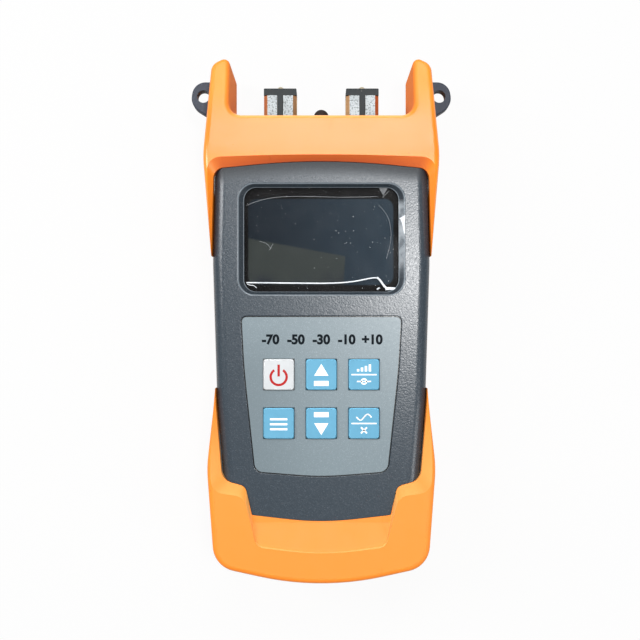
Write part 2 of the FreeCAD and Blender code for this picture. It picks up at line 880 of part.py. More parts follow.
def makeFrontShell():
    base = prism(shellOutline(), n.split_height, n.ledge_height)
    sides = prism(faceSides(), n.split_height, n.face_height)
    long = [edge for edge in sides.Edges if isAtHeight(edge, n.face_height) and not isAlong(edge, Vector(1, 0, 0))]
    face = sides.makeFillet(n.face_edge_round, long).common(prism(faceOutline(0), n.split_height, n.face_height))
    shell = base.fuse(face).removeSplitter()
    baseRoom = inset(shellOutline(), n.shell_wall)
    ledgeUnder = n.ledge_height - n.shell_wall
    faceRoom = prism(inset(faceOutline(0), n.shell_wall), n.split_height, float(wallUnder))
    room = prism(baseRoom, n.split_height, ledgeUnder)
    room = room.fuse(faceRoom.common(prism(baseRoom, n.split_height, float(wallUnder))))
    shell = shell.cut(room)
    posts = [column(n.column_radius, x, y, n.split_height, wallUnder) for x, y in caseColumns()]
    posts += [column(n.board_post_radius, x, y, boardFace, wallUnder) for x, y in boardPosts()]
    shell = shell.fuse(posts).removeSplitter()
    holes = [column(n.case_screw_radius, x, y, n.split_height, n.case_screw_end) for x, y in caseColumns()]
    holes += [column(n.board_screw_radius, x, y, boardFace, boardFace + s.board_screw_length - s.board_thick)
              for x, y in boardPosts()]
    half = n.key_side / 2 + n.fit_gap
    holes += [box((x - half, x + half), (y - half, y + half), (float(wallUnder) - n.overshoot, n.face_height))
              for x, y in keyPlaces()]
    pocketFloor = float(panelFloor)
    recess = prism(panelOutline(0, n.panel_gap), pocketFloor, n.face_height + n.overshoot)
    shell = shell.cut(holes + [recess, windowCutter()])
    shell = roundRim(shell, windowRim(), n.window_rim_round)
    return roundRim(shell, panelOutline(n.face_height, n.panel_gap), n.panel_rim_round)


def makeRearShell():
    tub = prism(shellOutline(), n.boot_back, n.split_height)
    room = prism(inset(shellOutline(), n.shell_wall), float(shellInside), n.split_height)
    shell = tub.cut(room)
    half = float(bayHalf)
    wall = n.bay_wall
    bayRoof = float(bayTop)
    bayOuter = box((-half - wall, half + wall), (n.bay_low - wall, bayHigh + wall), (n.boot_back, bayRoof + wall))
    bayInner = box((-half, half), (n.bay_low, bayHigh), (n.boot_back - n.overshoot, bayRoof))
    columns = [column(n.column_radius, x, y, n.boot_back, n.split_height) for x, y in caseColumns()]
    bosses = [columnAlongY(n.plate_boss_radius, x, z, flangeBottom, plateScrewTip)
              for x, z in plateScrews()]
    shell = shell.fuse([bayOuter] + columns + bosses).cut(bayInner)
    holes = []
    for x, y in caseColumns():
        holes.append(column(n.case_screw_radius, x, y, n.boot_back, n.split_height))
        holes.append(column(n.case_screw_head_radius + n.fit_gap, x, y, n.boot_back, n.case_screw_seat))
    for x, z in plateScrews():
        holes.append(columnAlongY(n.plate_screw_radius, x, z, flangeBottom, plateScrewTip))
    ports = (n.port_height - n.adapter_half_depth - n.fit_gap, n.port_height + n.adapter_half_depth + n.fit_gap)
    for side in (-1, 1):
        middle = side * n.port_half_pitch
        reach = n.adapter_half_width + n.fit_gap
        holes.append(box((middle - reach, middle + reach), (wallInside - s.overshoot, s.shell_top + s.overshoot), ports))
    holes.append(columnAlongY(n.jack_radius + n.fit_gap, 0, n.port_height, wallInside - s.overshoot,
                              s.shell_top + s.overshoot))
    return shell.cut(holes).removeSplitter()


def plateScrews():
    for side in (-1, 1):
        for rise in (-1, 1):
            yield side * n.plate_screw_half, n.port_height + rise * n.plate_screw_depth


# ---- face pieces -----------------------------------------------------------

def makeDisplayWindow():
    body = doc.addObject("PartDesign::Body", "display_window")
    sketch = sketchOn(body, "window_sketch", "XY_Plane", lensBack)
    halfWidth = s.window_half_width + s.lens_border
    halfHeight = s.window_half_height + s.lens_border
    rectangle(sketch, (-halfWidth, halfWidth), (s.window_y - halfHeight, s.window_y + halfHeight))
    pad(body, sketch, s.lens_thick)
    roundEdges(body, "window_corners", lambda edge: isAlong(edge, Vector(0, 0, 1)), s.window_corner)
    finish(body, "display_window")


def makeScreenFilm():
    outline = roundedRectangle(n.window_half_width - n.fit_gap, n.window_half_height - n.fit_gap, n.window_y,
                               n.window_corner, 0)
    freeForm(prism(outline, float(wallUnder), float(wallUnder) + n.film_thick), "screen_film")


def makeScreenModule():
    body = doc.addObject("PartDesign::Body", "screen_module")
    frame = sketchOn(body, "screen_frame", "XY_Plane", boardFace)
    halfWidth = s.window_half_width + s.lens_border
    halfHeight = s.window_half_height + s.lens_border
    rectangle(frame, (-halfWidth, halfWidth), (s.window_y - halfHeight, s.window_y + halfHeight))
    pad(body, frame, lensBack - boardFace)
    glass = sketchOn(body, "screen_glass", "XY_Plane", lensBack)
    rectangle(glass, (-s.window_half_width, s.window_half_width),
              (s.window_y - s.window_half_height, s.window_y + s.window_half_height))
    pocket(body, glass, s.film_thick)
    finish(body, "screen_module")


def makeKeypadPanel():
    panel = prism(panelOutline(0), float(panelFloor), float(panelFloor) + n.panel_thick)
    half = n.key_side / 2 + n.fit_gap
    holes = [box((x - half, x + half), (y - half, y + half), (0, n.boot_depth)) for x, y in keyPlaces()]
    freeForm(panel.cut(holes), "keypad_panel")


def makeKey(label, x, y):
    body = doc.addObject("PartDesign::Body", label)
    half = s.key_side * 0.5
    flangeHalf = half + s.key_flange_width
    flangeLow = wallUnder - s.key_flange
    flange = sketchOn(body, f"{label}_flange", "XY_Plane", flangeLow)
    rectangle(flange, (x - flangeHalf, x + flangeHalf), (y - flangeHalf, y + flangeHalf))
    pad(body, flange, s.key_flange)
    cap = sketchOn(body, f"{label}_cap", "XY_Plane", flangeLow)
    rectangle(cap, (x - half, x + half), (y - half, y + half))
    pad(body, cap, keyTop - flangeLow)
    corner = half.value

    def isCapCorner(edge):
        middle = edge.CenterOfMass
        onCap = abs(abs(middle.x - float(x)) - corner) < 1e-3 and abs(abs(middle.y - float(y)) - corner) < 1e-3
        return onCap and isAlong(edge, Vector(0, 0, 1))

    roundEdges(body, f"{label}_corners", isCapCorner, s.key_corner)
    roundEdges(body, f"{label}_crown", lambda edge: isAtHeight(edge, keyTop), s.key_crown)
    hollow = sketchOn(body, f"{label}_hollow", "XY_Plane", flangeLow)
    room = half - s.key_wall
    rectangle(hollow, (x - room, x + room), (y - room, y + room))
    pocket(body, hollow, keyTop - flangeLow - s.key_wall, backwards=True)
    finish(body, label)


def makeMembrane():
    left = s.key_pitch_x + s.key_side * 0.5 + s.key_flange_width
    low = s.key_lower_y - s.key_side * 0.5 - s.key_flange_width
    high = s.key_upper_y + s.key_side * 0.5 + s.key_flange_width
    mat = block("membrane_mat", (-left, left), (low, high), (boardFace, membraneTop))
    bosses = []
    rooms = []
    for row, y in keyRows.items():
        for side, x in keyColumns.items():
            reach = s.membrane_boss_half
            bosses.append(block(f"membrane_boss_{row}_{side}", (x - reach, x + reach), (y - reach, y + reach),
                                (boardFace, membraneTop + s.membrane_boss)))
            rooms.append(rod(f"membrane_room_{row}_{side}", s.pill_radius + s.fit_gap, x, y, boardFace,
                             boardFace + s.pill_gap + s.pill_thick))
    union = fuse("membrane_solid", [mat] + bosses)
    finish(cut("keypad_membrane", union, rooms), "keypad_membrane")


def makePills():
    pills = [rod(f"pill_{row}_{side}", s.pill_radius, x, y, boardFace + s.pill_gap,
                 boardFace + s.pill_gap + s.pill_thick)
             for row, y in keyRows.items() for side, x in keyColumns.items()]
    finish(fuse("contact_pills", pills), "contact_pills")


# ---- board -----------------------------------------------------------------

def makeBoard():
    body = doc.addObject("PartDesign::Body", "main_board")
    sketch = sketchOn(body, "board_sketch", "XY_Plane", boardBack)
    rectangle(sketch, (-s.board_half, s.board_half), (s.board_bottom, s.board_top))
    for side in (-1, 1):
        circle(sketch, side * s.board_post_half, s.board_post_upper_y, s.board_screw_radius)
        circle(sketch, side * s.board_post_lower_half, s.board_post_lower_y, s.board_screw_radius)
    pad(body, sketch, s.board_thick)
    finish(body, "main_board")


def makeScrews(label, places, shank, head, headHeight, low, high):
    """Cylinder-head screws along Z with their heads at the low end."""
    parts = []
    for index, (x, y) in enumerate(places):
        parts.append(rod(f"{label}_head_{index}", head, x, y, low, low + headHeight))
        parts.append(rod(f"{label}_shank_{index}", shank, x, y, low + headHeight, high))
    finish(fuse(label, parts), label)


# ---- ports -----------------------------------------------------------------

def makeAdapter(label, x):
    body = doc.addObject("PartDesign::Body", label)
    wide = s.adapter_half_width
    deep = s.adapter_half_depth
    chamfer = s.adapter_chamfer
    outline = sketchOn(body, f"{label}_outline", "XZ_Plane", -s.adapter_bottom)
    low = s.port_height - deep
    high = s.port_height + deep
    polygon(outline, [
        (x - wide, low),
        (x + wide, low),
        (x + wide, high - chamfer),
        (x + wide - chamfer, high),
        (x - wide + chamfer, high),
        (x - wide, high - chamfer),
    ])
    pad(body, outline, s.adapter_top - s.adapter_bottom, backwards=True)
    flange = sketchOn(body, f"{label}_flange", "XZ_Plane", -flangeBottom)
    reach = s.flange_half_width
    rectangle(flange, (x - reach, x + reach), (s.port_height - s.flange_half_depth, s.port_height + s.flange_half_depth))
    pad(body, flange, s.flange_thick, backwards=True)
    socket = sketchOn(body, f"{label}_socket", "XZ_Plane", -s.adapter_top)
    rectangle(socket, (x - s.socket_half_width, x + s.socket_half_width),
              (s.port_height - s.socket_half_depth, s.port_height + s.socket_half_depth))
    pocket(body, socket, s.adapter_top - s.socket_floor, backwards=True)
    keyway = sketchOn(body, f"{label}_keyway", "XZ_Plane", -s.adapter_top)
    rectangle(keyway, (x - s.keyway_half, x + s.keyway_half), (s.port_height, high + s.overshoot))
    pocket(body, keyway, s.adapter_top - s.shell_top - s.cap_gap, backwards=True)
    finish(body, label)


def makeSleeve(label, x):
    tube = rodAlongY(f"{label}_tube", s.sleeve_radius, x, s.port_height, s.socket_floor, s.sleeve_top)
    bore = rodAlongY(f"{label}_bore", s.sleeve_bore, x, s.port_height, s.socket_floor, s.sleeve_top)
    finish(cut(label, tube, [bore]), label)


def makeDetector(label, x):
    can = rodAlongY(label, s.detector_radius, x, s.port_height, s.adapter_bottom - s.detector_length,
                    s.adapter_bottom)
    finish(can, label)


def makeDustCap(label, x):
    body = doc.addObject("PartDesign::Body", label)
    wide = s.adapter_half_width
    deep = s.adapter_half_depth
    top = sketchOn(body, f"{label}_top", "XZ_Plane", -s.cap_low)
    rectangle(top, (x - wide, x + wide), (s.port_height - deep, s.port_height + deep))
    pad(body, top, s.cap_thick, backwards=True)
    plug = sketchOn(body, f"{label}_plug", "XZ_Plane", -(s.adapter_top - s.cap_plug_length))
    plugWide = s.socket_half_width - s.cap_gap
    plugDeep = s.socket_half_depth - s.cap_gap
    rectangle(plug, (x - plugWide, x + plugWide), (s.port_height - plugDeep, s.port_height + plugDeep))
    pad(body, plug, s.cap_plug_length + s.cap_sink, backwards=True)
    key = sketchOn(body, f"{label}_key", "XZ_Plane", -(s.adapter_top - s.cap_key_length))
    rectangle(key, (x - s.cap_key_half, x + s.cap_key_half),
              (s.port_height + s.socket_half_depth, s.port_height + deep))
    pad(body, key, s.cap_key_length + s.cap_sink, backwards=True)
    bridge = sketchOn(body, f"{label}_bridge", "XZ_Plane", -(s.adapter_top - s.cap_plug_length))
    rectangle(bridge, (x - s.cap_key_half, x + s.cap_key_half), (s.port_height, s.port_height + deep))
    pad(body, bridge, s.cap_plug_length + s.cap_sink, backwards=True)

    def isTopEdge(edge):
        return edge.BoundBox.YMin > n.cap_top - 1e-3

    roundEdges(body, f"{label}_rim", isTopEdge, s.cap_round)
    finish(body, label)


def makeRivet(label, x):
    collar = rodAlongY(f"{label}_collar", s.rivet_collar, x, s.port_height, s.cap_top,
                       s.cap_top + s.rivet_collar_height)
    ball = doc.addObject("Part::Sphere", f"{label}_ball")
    bind(ball, "Radius", s.rivet_radius)
    place(ball, x, s.cap_top + s.rivet_collar_height, s.port_height)
    reach = s.rivet_radius * 2
    lower = block(f"{label}_lower", (x - reach, x + reach), (s.cap_top - reach, s.cap_top + s.rivet_collar_height),
                  (s.port_height - reach, s.port_height + reach))
    dome = cut(f"{label}_dome", ball, [lower])
    finish(fuse(label, [collar, dome]), label)


def makePortPlate():
    body = doc.addObject("PartDesign::Body", "port_plate")
    sketch = sketchOn(body, "plate_sketch", "XZ_Plane", -plateBottom)
    low = s.port_height - s.plate_half_depth
    high = s.port_height + s.plate_half_depth
    rectangle(sketch, (-s.plate_half_width, s.plate_half_width), (low, high))
    for side in (-1, 1):
        middle = side * s.port_half_pitch
        reach = s.adapter_half_width + s.fit_gap
        rise = s.adapter_half_depth + s.fit_gap
        rectangle(sketch, (middle - reach, middle + reach), (s.port_height - rise, s.port_height + rise))
        for step in (-1, 1):
            circle(sketch, side * s.plate_screw_half, s.port_height + step * s.plate_screw_depth,
                   s.plate_screw_radius)
    circle(sketch, 0, s.port_height, s.jack_radius + s.fit_gap)
    pad(body, sketch, s.plate_thick, backwards=True)
    finish(body, "port_plate")


def makePlateScrews():
    parts = []
    index = 0
    for side in (-1, 1):
        for step in (-1, 1):
            x = side * s.plate_screw_half
            z = s.port_height + step * s.plate_screw_depth
            parts.append(rodAlongY(f"plate_screw_head_{index}", s.plate_screw_head_radius, x, z,
                                   plateBottom - s.plate_screw_head, plateBottom))
            parts.append(rodAlongY(f"plate_screw_shank_{index}", s.plate_screw_radius, x, z, plateBottom,
                                   plateScrewTip))
            index += 1
    finish(fuse("port_screws", parts), "port_screws")


def makeChargeSocket():
    barrel = rodAlongY("jack_barrel", s.jack_radius, 0, s.port_height, s.jack_bottom, s.shell_top)
    flange = rodAlongY("jack_flange", s.jack_flange, 0, s.port_height, flangeBottom, wallInside)
    bore = rodAlongY("jack_bore", s.jack_bore, 0, s.port_height, s.shell_top - s.jack_depth, s.shell_top)
    centre = rodAlongY("jack_pin", s.jack_pin, 0, s.port_height, s.shell_top - s.jack_depth - s.jack_pin_sunk,
                      s.shell_top - s.jack_pin_sunk)
    housing = cut("jack_housing", fuse("jack_solid", [barrel, flange]), [bore])
    finish(fuse("charge_socket", [housing, centre]), "charge_socket")


def makeChargeBung():
    seat = s.shell_top + s.cap_seat
    flange = rodAlongY("bung_flange", s.bung_flange, 0, s.port_height, seat, seat + s.bung_flange_thick)
    neck = rodAlongY("bung_neck", s.bung_radius, 0, s.port_height, seat, s.bung_top - s.bung_radius)
    dome = doc.addObject("Part::Sphere", "bung_dome")
    bind(dome, "Radius", s.bung_radius)
    place(dome, 0, s.bung_top - s.bung_radius, s.port_height)
    plug = rodAlongY("bung_plug", s.jack_bore - s.cap_gap, 0, s.port_height, seat - s.bung_plug_length, seat)
    solid = fuse("bung_solid", [flange, neck, dome, plug])
    room = rodAlongY("bung_room", s.jack_pin + s.cap_gap, 0, s.port_height, seat - s.bung_plug_length, seat)
    finish(cut("charge_bung", solid, [room]), "charge_bung")


# ---- strap lugs ------------------------------------------------------------

def makeLug(label, side):
    low = n.lug_height
    high = n.lug_height + n.lug_thick
    eye = roundedWire([
        (-n.lug_root_inner, n.lug_top, n.lug_root_round),
        (-n.lug_root_inner, n.lug_bottom, n.lug_root_round),
        (-n.lug_root_outer, n.lug_bottom, n.lug_low_round),
        (-n.lug_outer, n.lug_top - n.lug_nose_drop, n.lug_nose_round),
        (-n.lug_outer + n.lug_nose_inset, n.lug_top, n.lug_top_round),
    ], low)
    eye = prism(eye, low, high)
    rim = [edge for edge in eye.Edges if (isAtHeight(edge, low) or isAtHeight(edge, high))
           and edge.BoundBox.XMin < -n.lug_root_outer - n.lug_root_round]
    eye = eye.makeFillet(n.lug_edge_round, rim)
    stem = box((-n.lug_root_outer, -n.lug_root_inner), (n.shell_top, n.lug_bottom + n.lug_stem_lap), (low, high))
    lug = eye.fuse(stem).removeSplitter().cut(column(n.lug_hole_radius, -n.lug_hole_x, n.lug_hole_y, low, high))
    if side > 0:
        lug = lug.mirror(Vector(0, 0, 0), Vector(1, 0, 0))
    freeForm(lug, label)


# ---- battery bay -----------------------------------------------------------

def makeCell(label, x, up):
    """One cylindrical cell, its positive end up or down the case."""
    high = cellLow + s.cell_length + s.cell_nub
    if up:
        can = rodAlongY(f"{label}_can", s.cell_radius, x, s.cell_height, cellLow, cellLow + s.cell_length)
        nub = rodAlongY(f"{label}_nub", s.cell_nub_radius, x, s.cell_height, cellLow + s.cell_length, high)
    else:
        can = rodAlongY(f"{label}_can", s.cell_radius, x, s.cell_height, cellLow + s.cell_nub, high)
        nub = rodAlongY(f"{label}_nub", s.cell_nub_radius, x, s.cell_height, cellLow, cellLow + s.cell_nub)
    finish(fuse(label, [can, nub]), label)


def makeContacts(label, wall, direction):
    """Contact plates on an end wall of the bay, each with a bowed leaf towards its cell."""
    leaves = []
    thick = n.contact_plate
    for x in (-n.cell_pitch, 0, n.cell_pitch):
        low = n.cell_height - n.contact_half_height
        high = n.cell_height + n.contact_half_height
        plate = box((x - n.contact_half, x + n.contact_half), sorted((wall, wall + direction * thick)), (low, high))
        reach = wall + direction * (thick + n.contact_reach)
        bow = [
            Vector(x, wall + direction * thick / 2, low),
            Vector(x, reach, n.cell_height - n.contact_tip_half),
            Vector(x, reach, n.cell_height + n.contact_tip_half),
            Vector(x, reach - direction * thick, n.cell_height + n.contact_tip_half),
            Vector(x, reach - direction * thick, n.cell_height - n.contact_tip_half),
            Vector(x, wall + direction * thick / 2, low + 2 * thick),
        ]
        leaf = Part.Face(Part.makePolygon(bow + [bow[0]])).extrude(Vector(n.contact_half, 0, 0))
        leaf.translate(Vector(-n.contact_half / 2, 0, 0))
        leaves.append(plate.fuse(leaf).removeSplitter())
    freeForm(Part.makeCompound(leaves), label)


def makeBatteryCover():
    low = n.cover_sunk
    high = low + n.cover_thick
    plate = prism(coverOutline(0), low, high)
    rim = [edge for edge in plate.Edges if isAtHeight(edge, low)]
    plate = plate.makeFillet(n.cover_edge_round, rim)
    half = float(bayHalf) - n.cover_gap
    ys = (n.bay_low + n.cover_gap, float(bayHigh) - n.cover_gap)
    wall = n.cover_frame_wall
    outer = box((-half, half), ys, (high, high + n.cover_frame))
    inner = box((-half + wall, half - wall), (ys[0] + wall, ys[1] - wall), (high, high + n.cover_frame))
    grip = Part.makeCylinder(n.cover_grip_radius, 4 * n.cover_grip_radius,
                             Vector(-2 * n.cover_grip_radius, float(bayHigh) - n.cover_grip_radius,
                                    low + n.cover_grip_depth - n.cover_grip_radius), Vector(1, 0, 0))
    cover = plate.fuse(outer.cut(inner)).removeSplitter().cut(grip)
    freeForm(cover, "battery_cover")


# ---- assembly --------------------------------------------------------------

freeForm(makeBoot(), "protective_boot")
freeForm(makeFrontShell(), "front_shell")
freeForm(makeRearShell(), "rear_shell")
makeDisplayWindow()
makeScreenFilm()
makeScreenModule()
makeKeypadPanel()
keyNames = {
    ("upper", "left"): "key_power",
    ("upper", "middle"): "key_up",
    ("upper", "right"): "key_units",
    ("lower", "left"): "key_mode",
    ("lower", "middle"): "key_down",
    ("lower", "right"): "key_wavelength",
}
for (row, side), label in keyNames.items():
    makeKey(label, keyColumns[side], keyRows[row])
makeMembrane()
makePills()
makeBoard()
upperPosts = [(side * s.board_post_half, s.board_post_upper_y) for side in (-1, 1)]
lowerPosts = [(side * s.board_post_lower_half, s.board_post_lower_y) for side in (-1, 1)]
makeScrews("board_screws", upperPosts + lowerPosts, s.board_screw_radius, s.board_screw_head_radius,
           s.board_screw_head, boardBack - s.board_screw_head, boardBack + s.board_screw_length)
columnPlaces = [(side * s.column_half, y) for side in (-1, 1) for y in (s.column_upper_y, s.column_lower_y)]
makeScrews("case_screws", columnPlaces, s.case_screw_radius, s.case_screw_head_radius, s.case_screw_head,
           s.case_screw_seat - s.case_screw_head, s.case_screw_end)
for side, name in ((-1, "left"), (1, "right")):
    middle = side * s.port_half_pitch
    makeAdapter(f"port_adapter_{name}", middle)
    makeSleeve(f"port_sleeve_{name}", middle)
    makeDetector(f"detector_{name}", middle)
    makeDustCap(f"dust_cap_{name}", middle)
    makeRivet(f"cap_rivet_{name}", middle)
    makeLug(f"strap_lug_{name}", side)
makePortPlate()
makePlateScrews()
makeChargeSocket()
makeChargeBung()
for name, step, up in (("left", -1, True), ("middle", 0, False), ("right", 1, True)):
    makeCell(f"battery_cell_{name}", step * s.cell_pitch, up)
makeContacts("lower_contacts", n.bay_low, 1)
makeContacts("upper_contacts", float(bayHigh), -1)
makeBatteryCover()

doc.recompute()
for obj in doc.Objects:
    if "Invalid" in obj.State or "Error" in obj.State:
        raise RuntimeError(f"{obj.Label} failed: {obj.State}")
os.makedirs("parts", exist_ok=True)
for obj in finished:
    if obj.Shape.isNull() or not obj.Shape.isValid():
        raise RuntimeError(f"{obj.Label} has no valid shape")
    obj.Shape.exportStep(f"parts/{obj.Label}.step")
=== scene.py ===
import bmesh
import bpy
import math
import random
from mathutils import Matrix, Vector


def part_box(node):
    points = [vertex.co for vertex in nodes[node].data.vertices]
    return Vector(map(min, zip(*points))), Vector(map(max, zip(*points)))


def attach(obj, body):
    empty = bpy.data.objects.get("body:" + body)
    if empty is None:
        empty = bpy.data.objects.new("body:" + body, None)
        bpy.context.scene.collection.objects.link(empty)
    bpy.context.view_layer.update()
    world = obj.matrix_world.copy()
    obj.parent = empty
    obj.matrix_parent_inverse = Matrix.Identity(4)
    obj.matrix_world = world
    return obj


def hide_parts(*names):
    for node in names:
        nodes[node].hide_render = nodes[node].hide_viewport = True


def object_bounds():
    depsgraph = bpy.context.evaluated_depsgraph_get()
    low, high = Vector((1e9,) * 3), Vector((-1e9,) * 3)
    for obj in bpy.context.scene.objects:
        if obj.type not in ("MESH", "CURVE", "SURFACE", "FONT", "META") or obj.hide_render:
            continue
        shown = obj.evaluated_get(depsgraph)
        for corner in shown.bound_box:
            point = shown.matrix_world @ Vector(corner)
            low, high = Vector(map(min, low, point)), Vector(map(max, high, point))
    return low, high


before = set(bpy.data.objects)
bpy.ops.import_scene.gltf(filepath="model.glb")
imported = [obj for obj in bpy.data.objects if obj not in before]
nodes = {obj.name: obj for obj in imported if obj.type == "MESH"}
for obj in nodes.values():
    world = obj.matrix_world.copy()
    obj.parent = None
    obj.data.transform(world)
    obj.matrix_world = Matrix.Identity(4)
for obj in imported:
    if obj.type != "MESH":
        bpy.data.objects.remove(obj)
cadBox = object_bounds()
mm = 0.001


def rgb(red, green, blue):
    # the colour as it is named on screen, made linear, with full alpha
    parts = [value / 255 for value in (red, green, blue)]
    return tuple(v / 12.92 if v <= 0.04045 else ((v + 0.055) / 1.055) ** 2.4 for v in parts) + (1.0,)


# ---- shader arithmetic

class Signal:
    def __init__(self, look, socket):
        self.look = look
        self.socket = socket

    def math(self, operation, *others):
        values = dict(enumerate((self,) + others))
        return self.look.node("ShaderNodeMath", {"operation": operation}, values)

    def __add__(self, other):
        return self.math("ADD", other)

    def __radd__(self, other):
        return self.math("ADD", other)

    def __sub__(self, other):
        return self.math("SUBTRACT", other)

    def __rsub__(self, other):
        return self.look.node("ShaderNodeMath", {"operation": "SUBTRACT"}, {0: other, 1: self})

    def __mul__(self, other):
        return self.math("MULTIPLY", other)

    def __pow__(self, other):
        return self.math("POWER", other)

    def __abs__(self):
        return self.math("ABSOLUTE")

    def above(self, low, high):
        # 0 under low, 1 over high, smooth between them
        return self.look.node("ShaderNodeMapRange", {"interpolation_type": "SMOOTHSTEP"},
                              {"Value": self, "From Min": low, "From Max": high})

    def most(self, other):
        return self.math("MAXIMUM", other)

    def least(self, other):
        return self.math("MINIMUM", other)


class Look:
    def __init__(self, name, color, **constants):
        self.material = bpy.data.materials.new(name)
        self.material.use_nodes = True
        self.tree = self.material.node_tree
        self.tree.nodes.clear()
        self.shader = self.tree.nodes.new("ShaderNodeBsdfPrincipled")
        output = self.tree.nodes.new("ShaderNodeOutputMaterial")
        self.tree.links.new(self.shader.outputs["BSDF"], output.inputs["Surface"])
        self.feed(Base_Color=color, **constants)
        self.where = self.node("ShaderNodeTexCoord", output="Object")

    def put(self, socket, value):
        if isinstance(value, Signal):
            self.tree.links.new(value.socket, socket)
        else:
            socket.default_value = value

    def node(self, kind, settings=None, values=None, output=0):
        made = self.tree.nodes.new(kind)
        for key, value in (settings or {}).items():
            setattr(made, key, value)
        for key, value in (values or {}).items():
            self.put(made.inputs[key], value)
        return Signal(self, made.outputs[output])

    def feed(self, **values):
        for key, value in values.items():
            self.put(self.shader.inputs[key.replace("_", " ")], value)

    def axis(self, letter):
        return self.node("ShaderNodeSeparateXYZ", values={0: self.where}, output=letter)

    def facing(self, letter):
        normal = self.node("ShaderNodeTexCoord", output="Normal")
        return self.node("ShaderNodeSeparateXYZ", values={0: normal}, output=letter)

    def noise(self, size, detail=2.0, stretch=(1, 1, 1)):
        # size is the length of one blotch in metres
        spot = self.node("ShaderNodeMapping", values={"Vector": self.where, "Scale": stretch})
        values = {"Vector": spot, "Scale": 1 / size, "Detail": detail}
        return self.node("ShaderNodeTexNoise", values=values)

    def voronoi(self, size, output):
        values = {"Vector": self.where, "Scale": 1 / size}
        return self.node("ShaderNodeTexVoronoi", values=values, output=output)

    def cells(self, size):
        # a plain value for each little cell
        picked = self.voronoi(size, "Color")
        return self.node("ShaderNodeSeparateColor", values={0: picked}, output="Red")

    def dots(self, size):
        # distance from the middle of the nearest cell, 0 at the middle
        return self.voronoi(size, "Distance")

    def specks(self, size, reach, share):
        # round specks in some of the little cells
        return (1 - self.dots(size).above(*reach)) * self.cells(size).above(*share)

    def block(self, middle, halfWide, halfTall):
        # 1 inside a block across the middle of the meter, 0 outside it
        wide = 1 - abs(self.axis("X")).above(*halfWide)
        return wide * (1 - abs(self.axis("Y") - middle).above(*halfTall))

    def blend(self, factor, first, second):
        values = {0: factor, 6: first, 7: second}
        return self.node("ShaderNodeMix", {"data_type": "RGBA"}, values, output=2)

    def bump(self, height, depth, strength=1.0, under=None):
        values = {"Height": height, "Distance": depth, "Strength": strength}
        if under:
            values["Normal"] = under
        return self.node("ShaderNodeBump", values=values)


def shade(tone, factor):
    return tuple(min(1.0, value * factor) for value in tone[:3]) + (1.0,)


# ---- piece helpers

def meshObject(name, work, material, body, smooth=True):
    bmesh.ops.remove_doubles(work, verts=work.verts, dist=1e-7)
    bmesh.ops.recalc_face_normals(work, faces=work.faces)
    mesh = bpy.data.meshes.new(name)
    work.to_mesh(mesh)
    work.free()
    for face in mesh.polygons:
        face.use_smooth = smooth
    mesh.materials.append(material)
    piece = bpy.data.objects.new(name, mesh)
    bpy.context.scene.collection.objects.link(piece)
    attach(piece, body)
    return piece


def addBar(work, size, centre, turn=0.0):
    # a straight bar of the given size, turned about Z
    made = bmesh.ops.create_cube(work, size=1.0)["verts"]
    bmesh.ops.scale(work, vec=size, verts=made)
    bmesh.ops.rotate(work, cent=(0, 0, 0), matrix=Matrix.Rotation(turn, 3, "Z"), verts=made)
    bmesh.ops.translate(work, vec=centre, verts=made)


def settle(work):
    # spinning leaves the order of corners and faces to chance, so both are put in order of place
    places = ((work.verts, lambda vert: vert.co), (work.faces, lambda face: face.calc_center_median()))
    for parts, place in places:
        for index, part in enumerate(sorted(parts, key=lambda part: place(part).to_tuple(7))):
            part.index = index
        parts.sort()


def addArc(work, radius, width, thick, centre, start, sweep, steps):
    # a flat ring, or part of one, spun from its section
    section = bmesh.ops.create_grid(work, x_segments=1, y_segments=1, size=0.5)["verts"]
    bmesh.ops.scale(work, vec=(width, thick, 1), verts=section)
    bmesh.ops.rotate(work, cent=(0, 0, 0), matrix=Matrix.Rotation(math.pi / 2, 3, "X"), verts=section)
    bmesh.ops.translate(work, vec=(radius, 0, 0), verts=section)
    bmesh.ops.rotate(work, cent=(0, 0, 0), matrix=Matrix.Rotation(start, 3, "Z"), verts=section)
    before = set(work.verts) - set(section)
    faces = list({face for vert in section for face in vert.link_faces})
    bmesh.ops.spin(work, geom=faces, cent=(0, 0, 0), axis=(0, 0, 1), angle=sweep, steps=steps,
                   use_merge=abs(sweep) > 6.28, use_duplicate=False)
    made = [vert for vert in work.verts if vert not in before]
    bmesh.ops.translate(work, vec=centre, verts=made)
    settle(work)


def dress(name, look):
    piece = nodes[name]
    piece.data.materials.clear()
    piece.data.materials.append(look.material)


print("stage 1: frame loaded,", len(nodes), "CAD nodes")

# ---- camera, lamps, floor

view = {
    "place": (-0.0005, -0.0036, 0.3822),
    "lens": 50.3,
    "shiftUp": 0.0156,
}

cameraData = bpy.data.cameras.new("camera")
cameraData.lens = view["lens"]
cameraData.sensor_width = 36.0
cameraData.shift_y = view["shiftUp"]
cameraData.clip_start = 0.01
camera = bpy.data.objects.new("camera", cameraData)
camera.location = view["place"]
bpy.context.scene.collection.objects.link(camera)
bpy.context.scene.camera = camera
bpy.context.scene.view_settings.view_transform = "Standard"

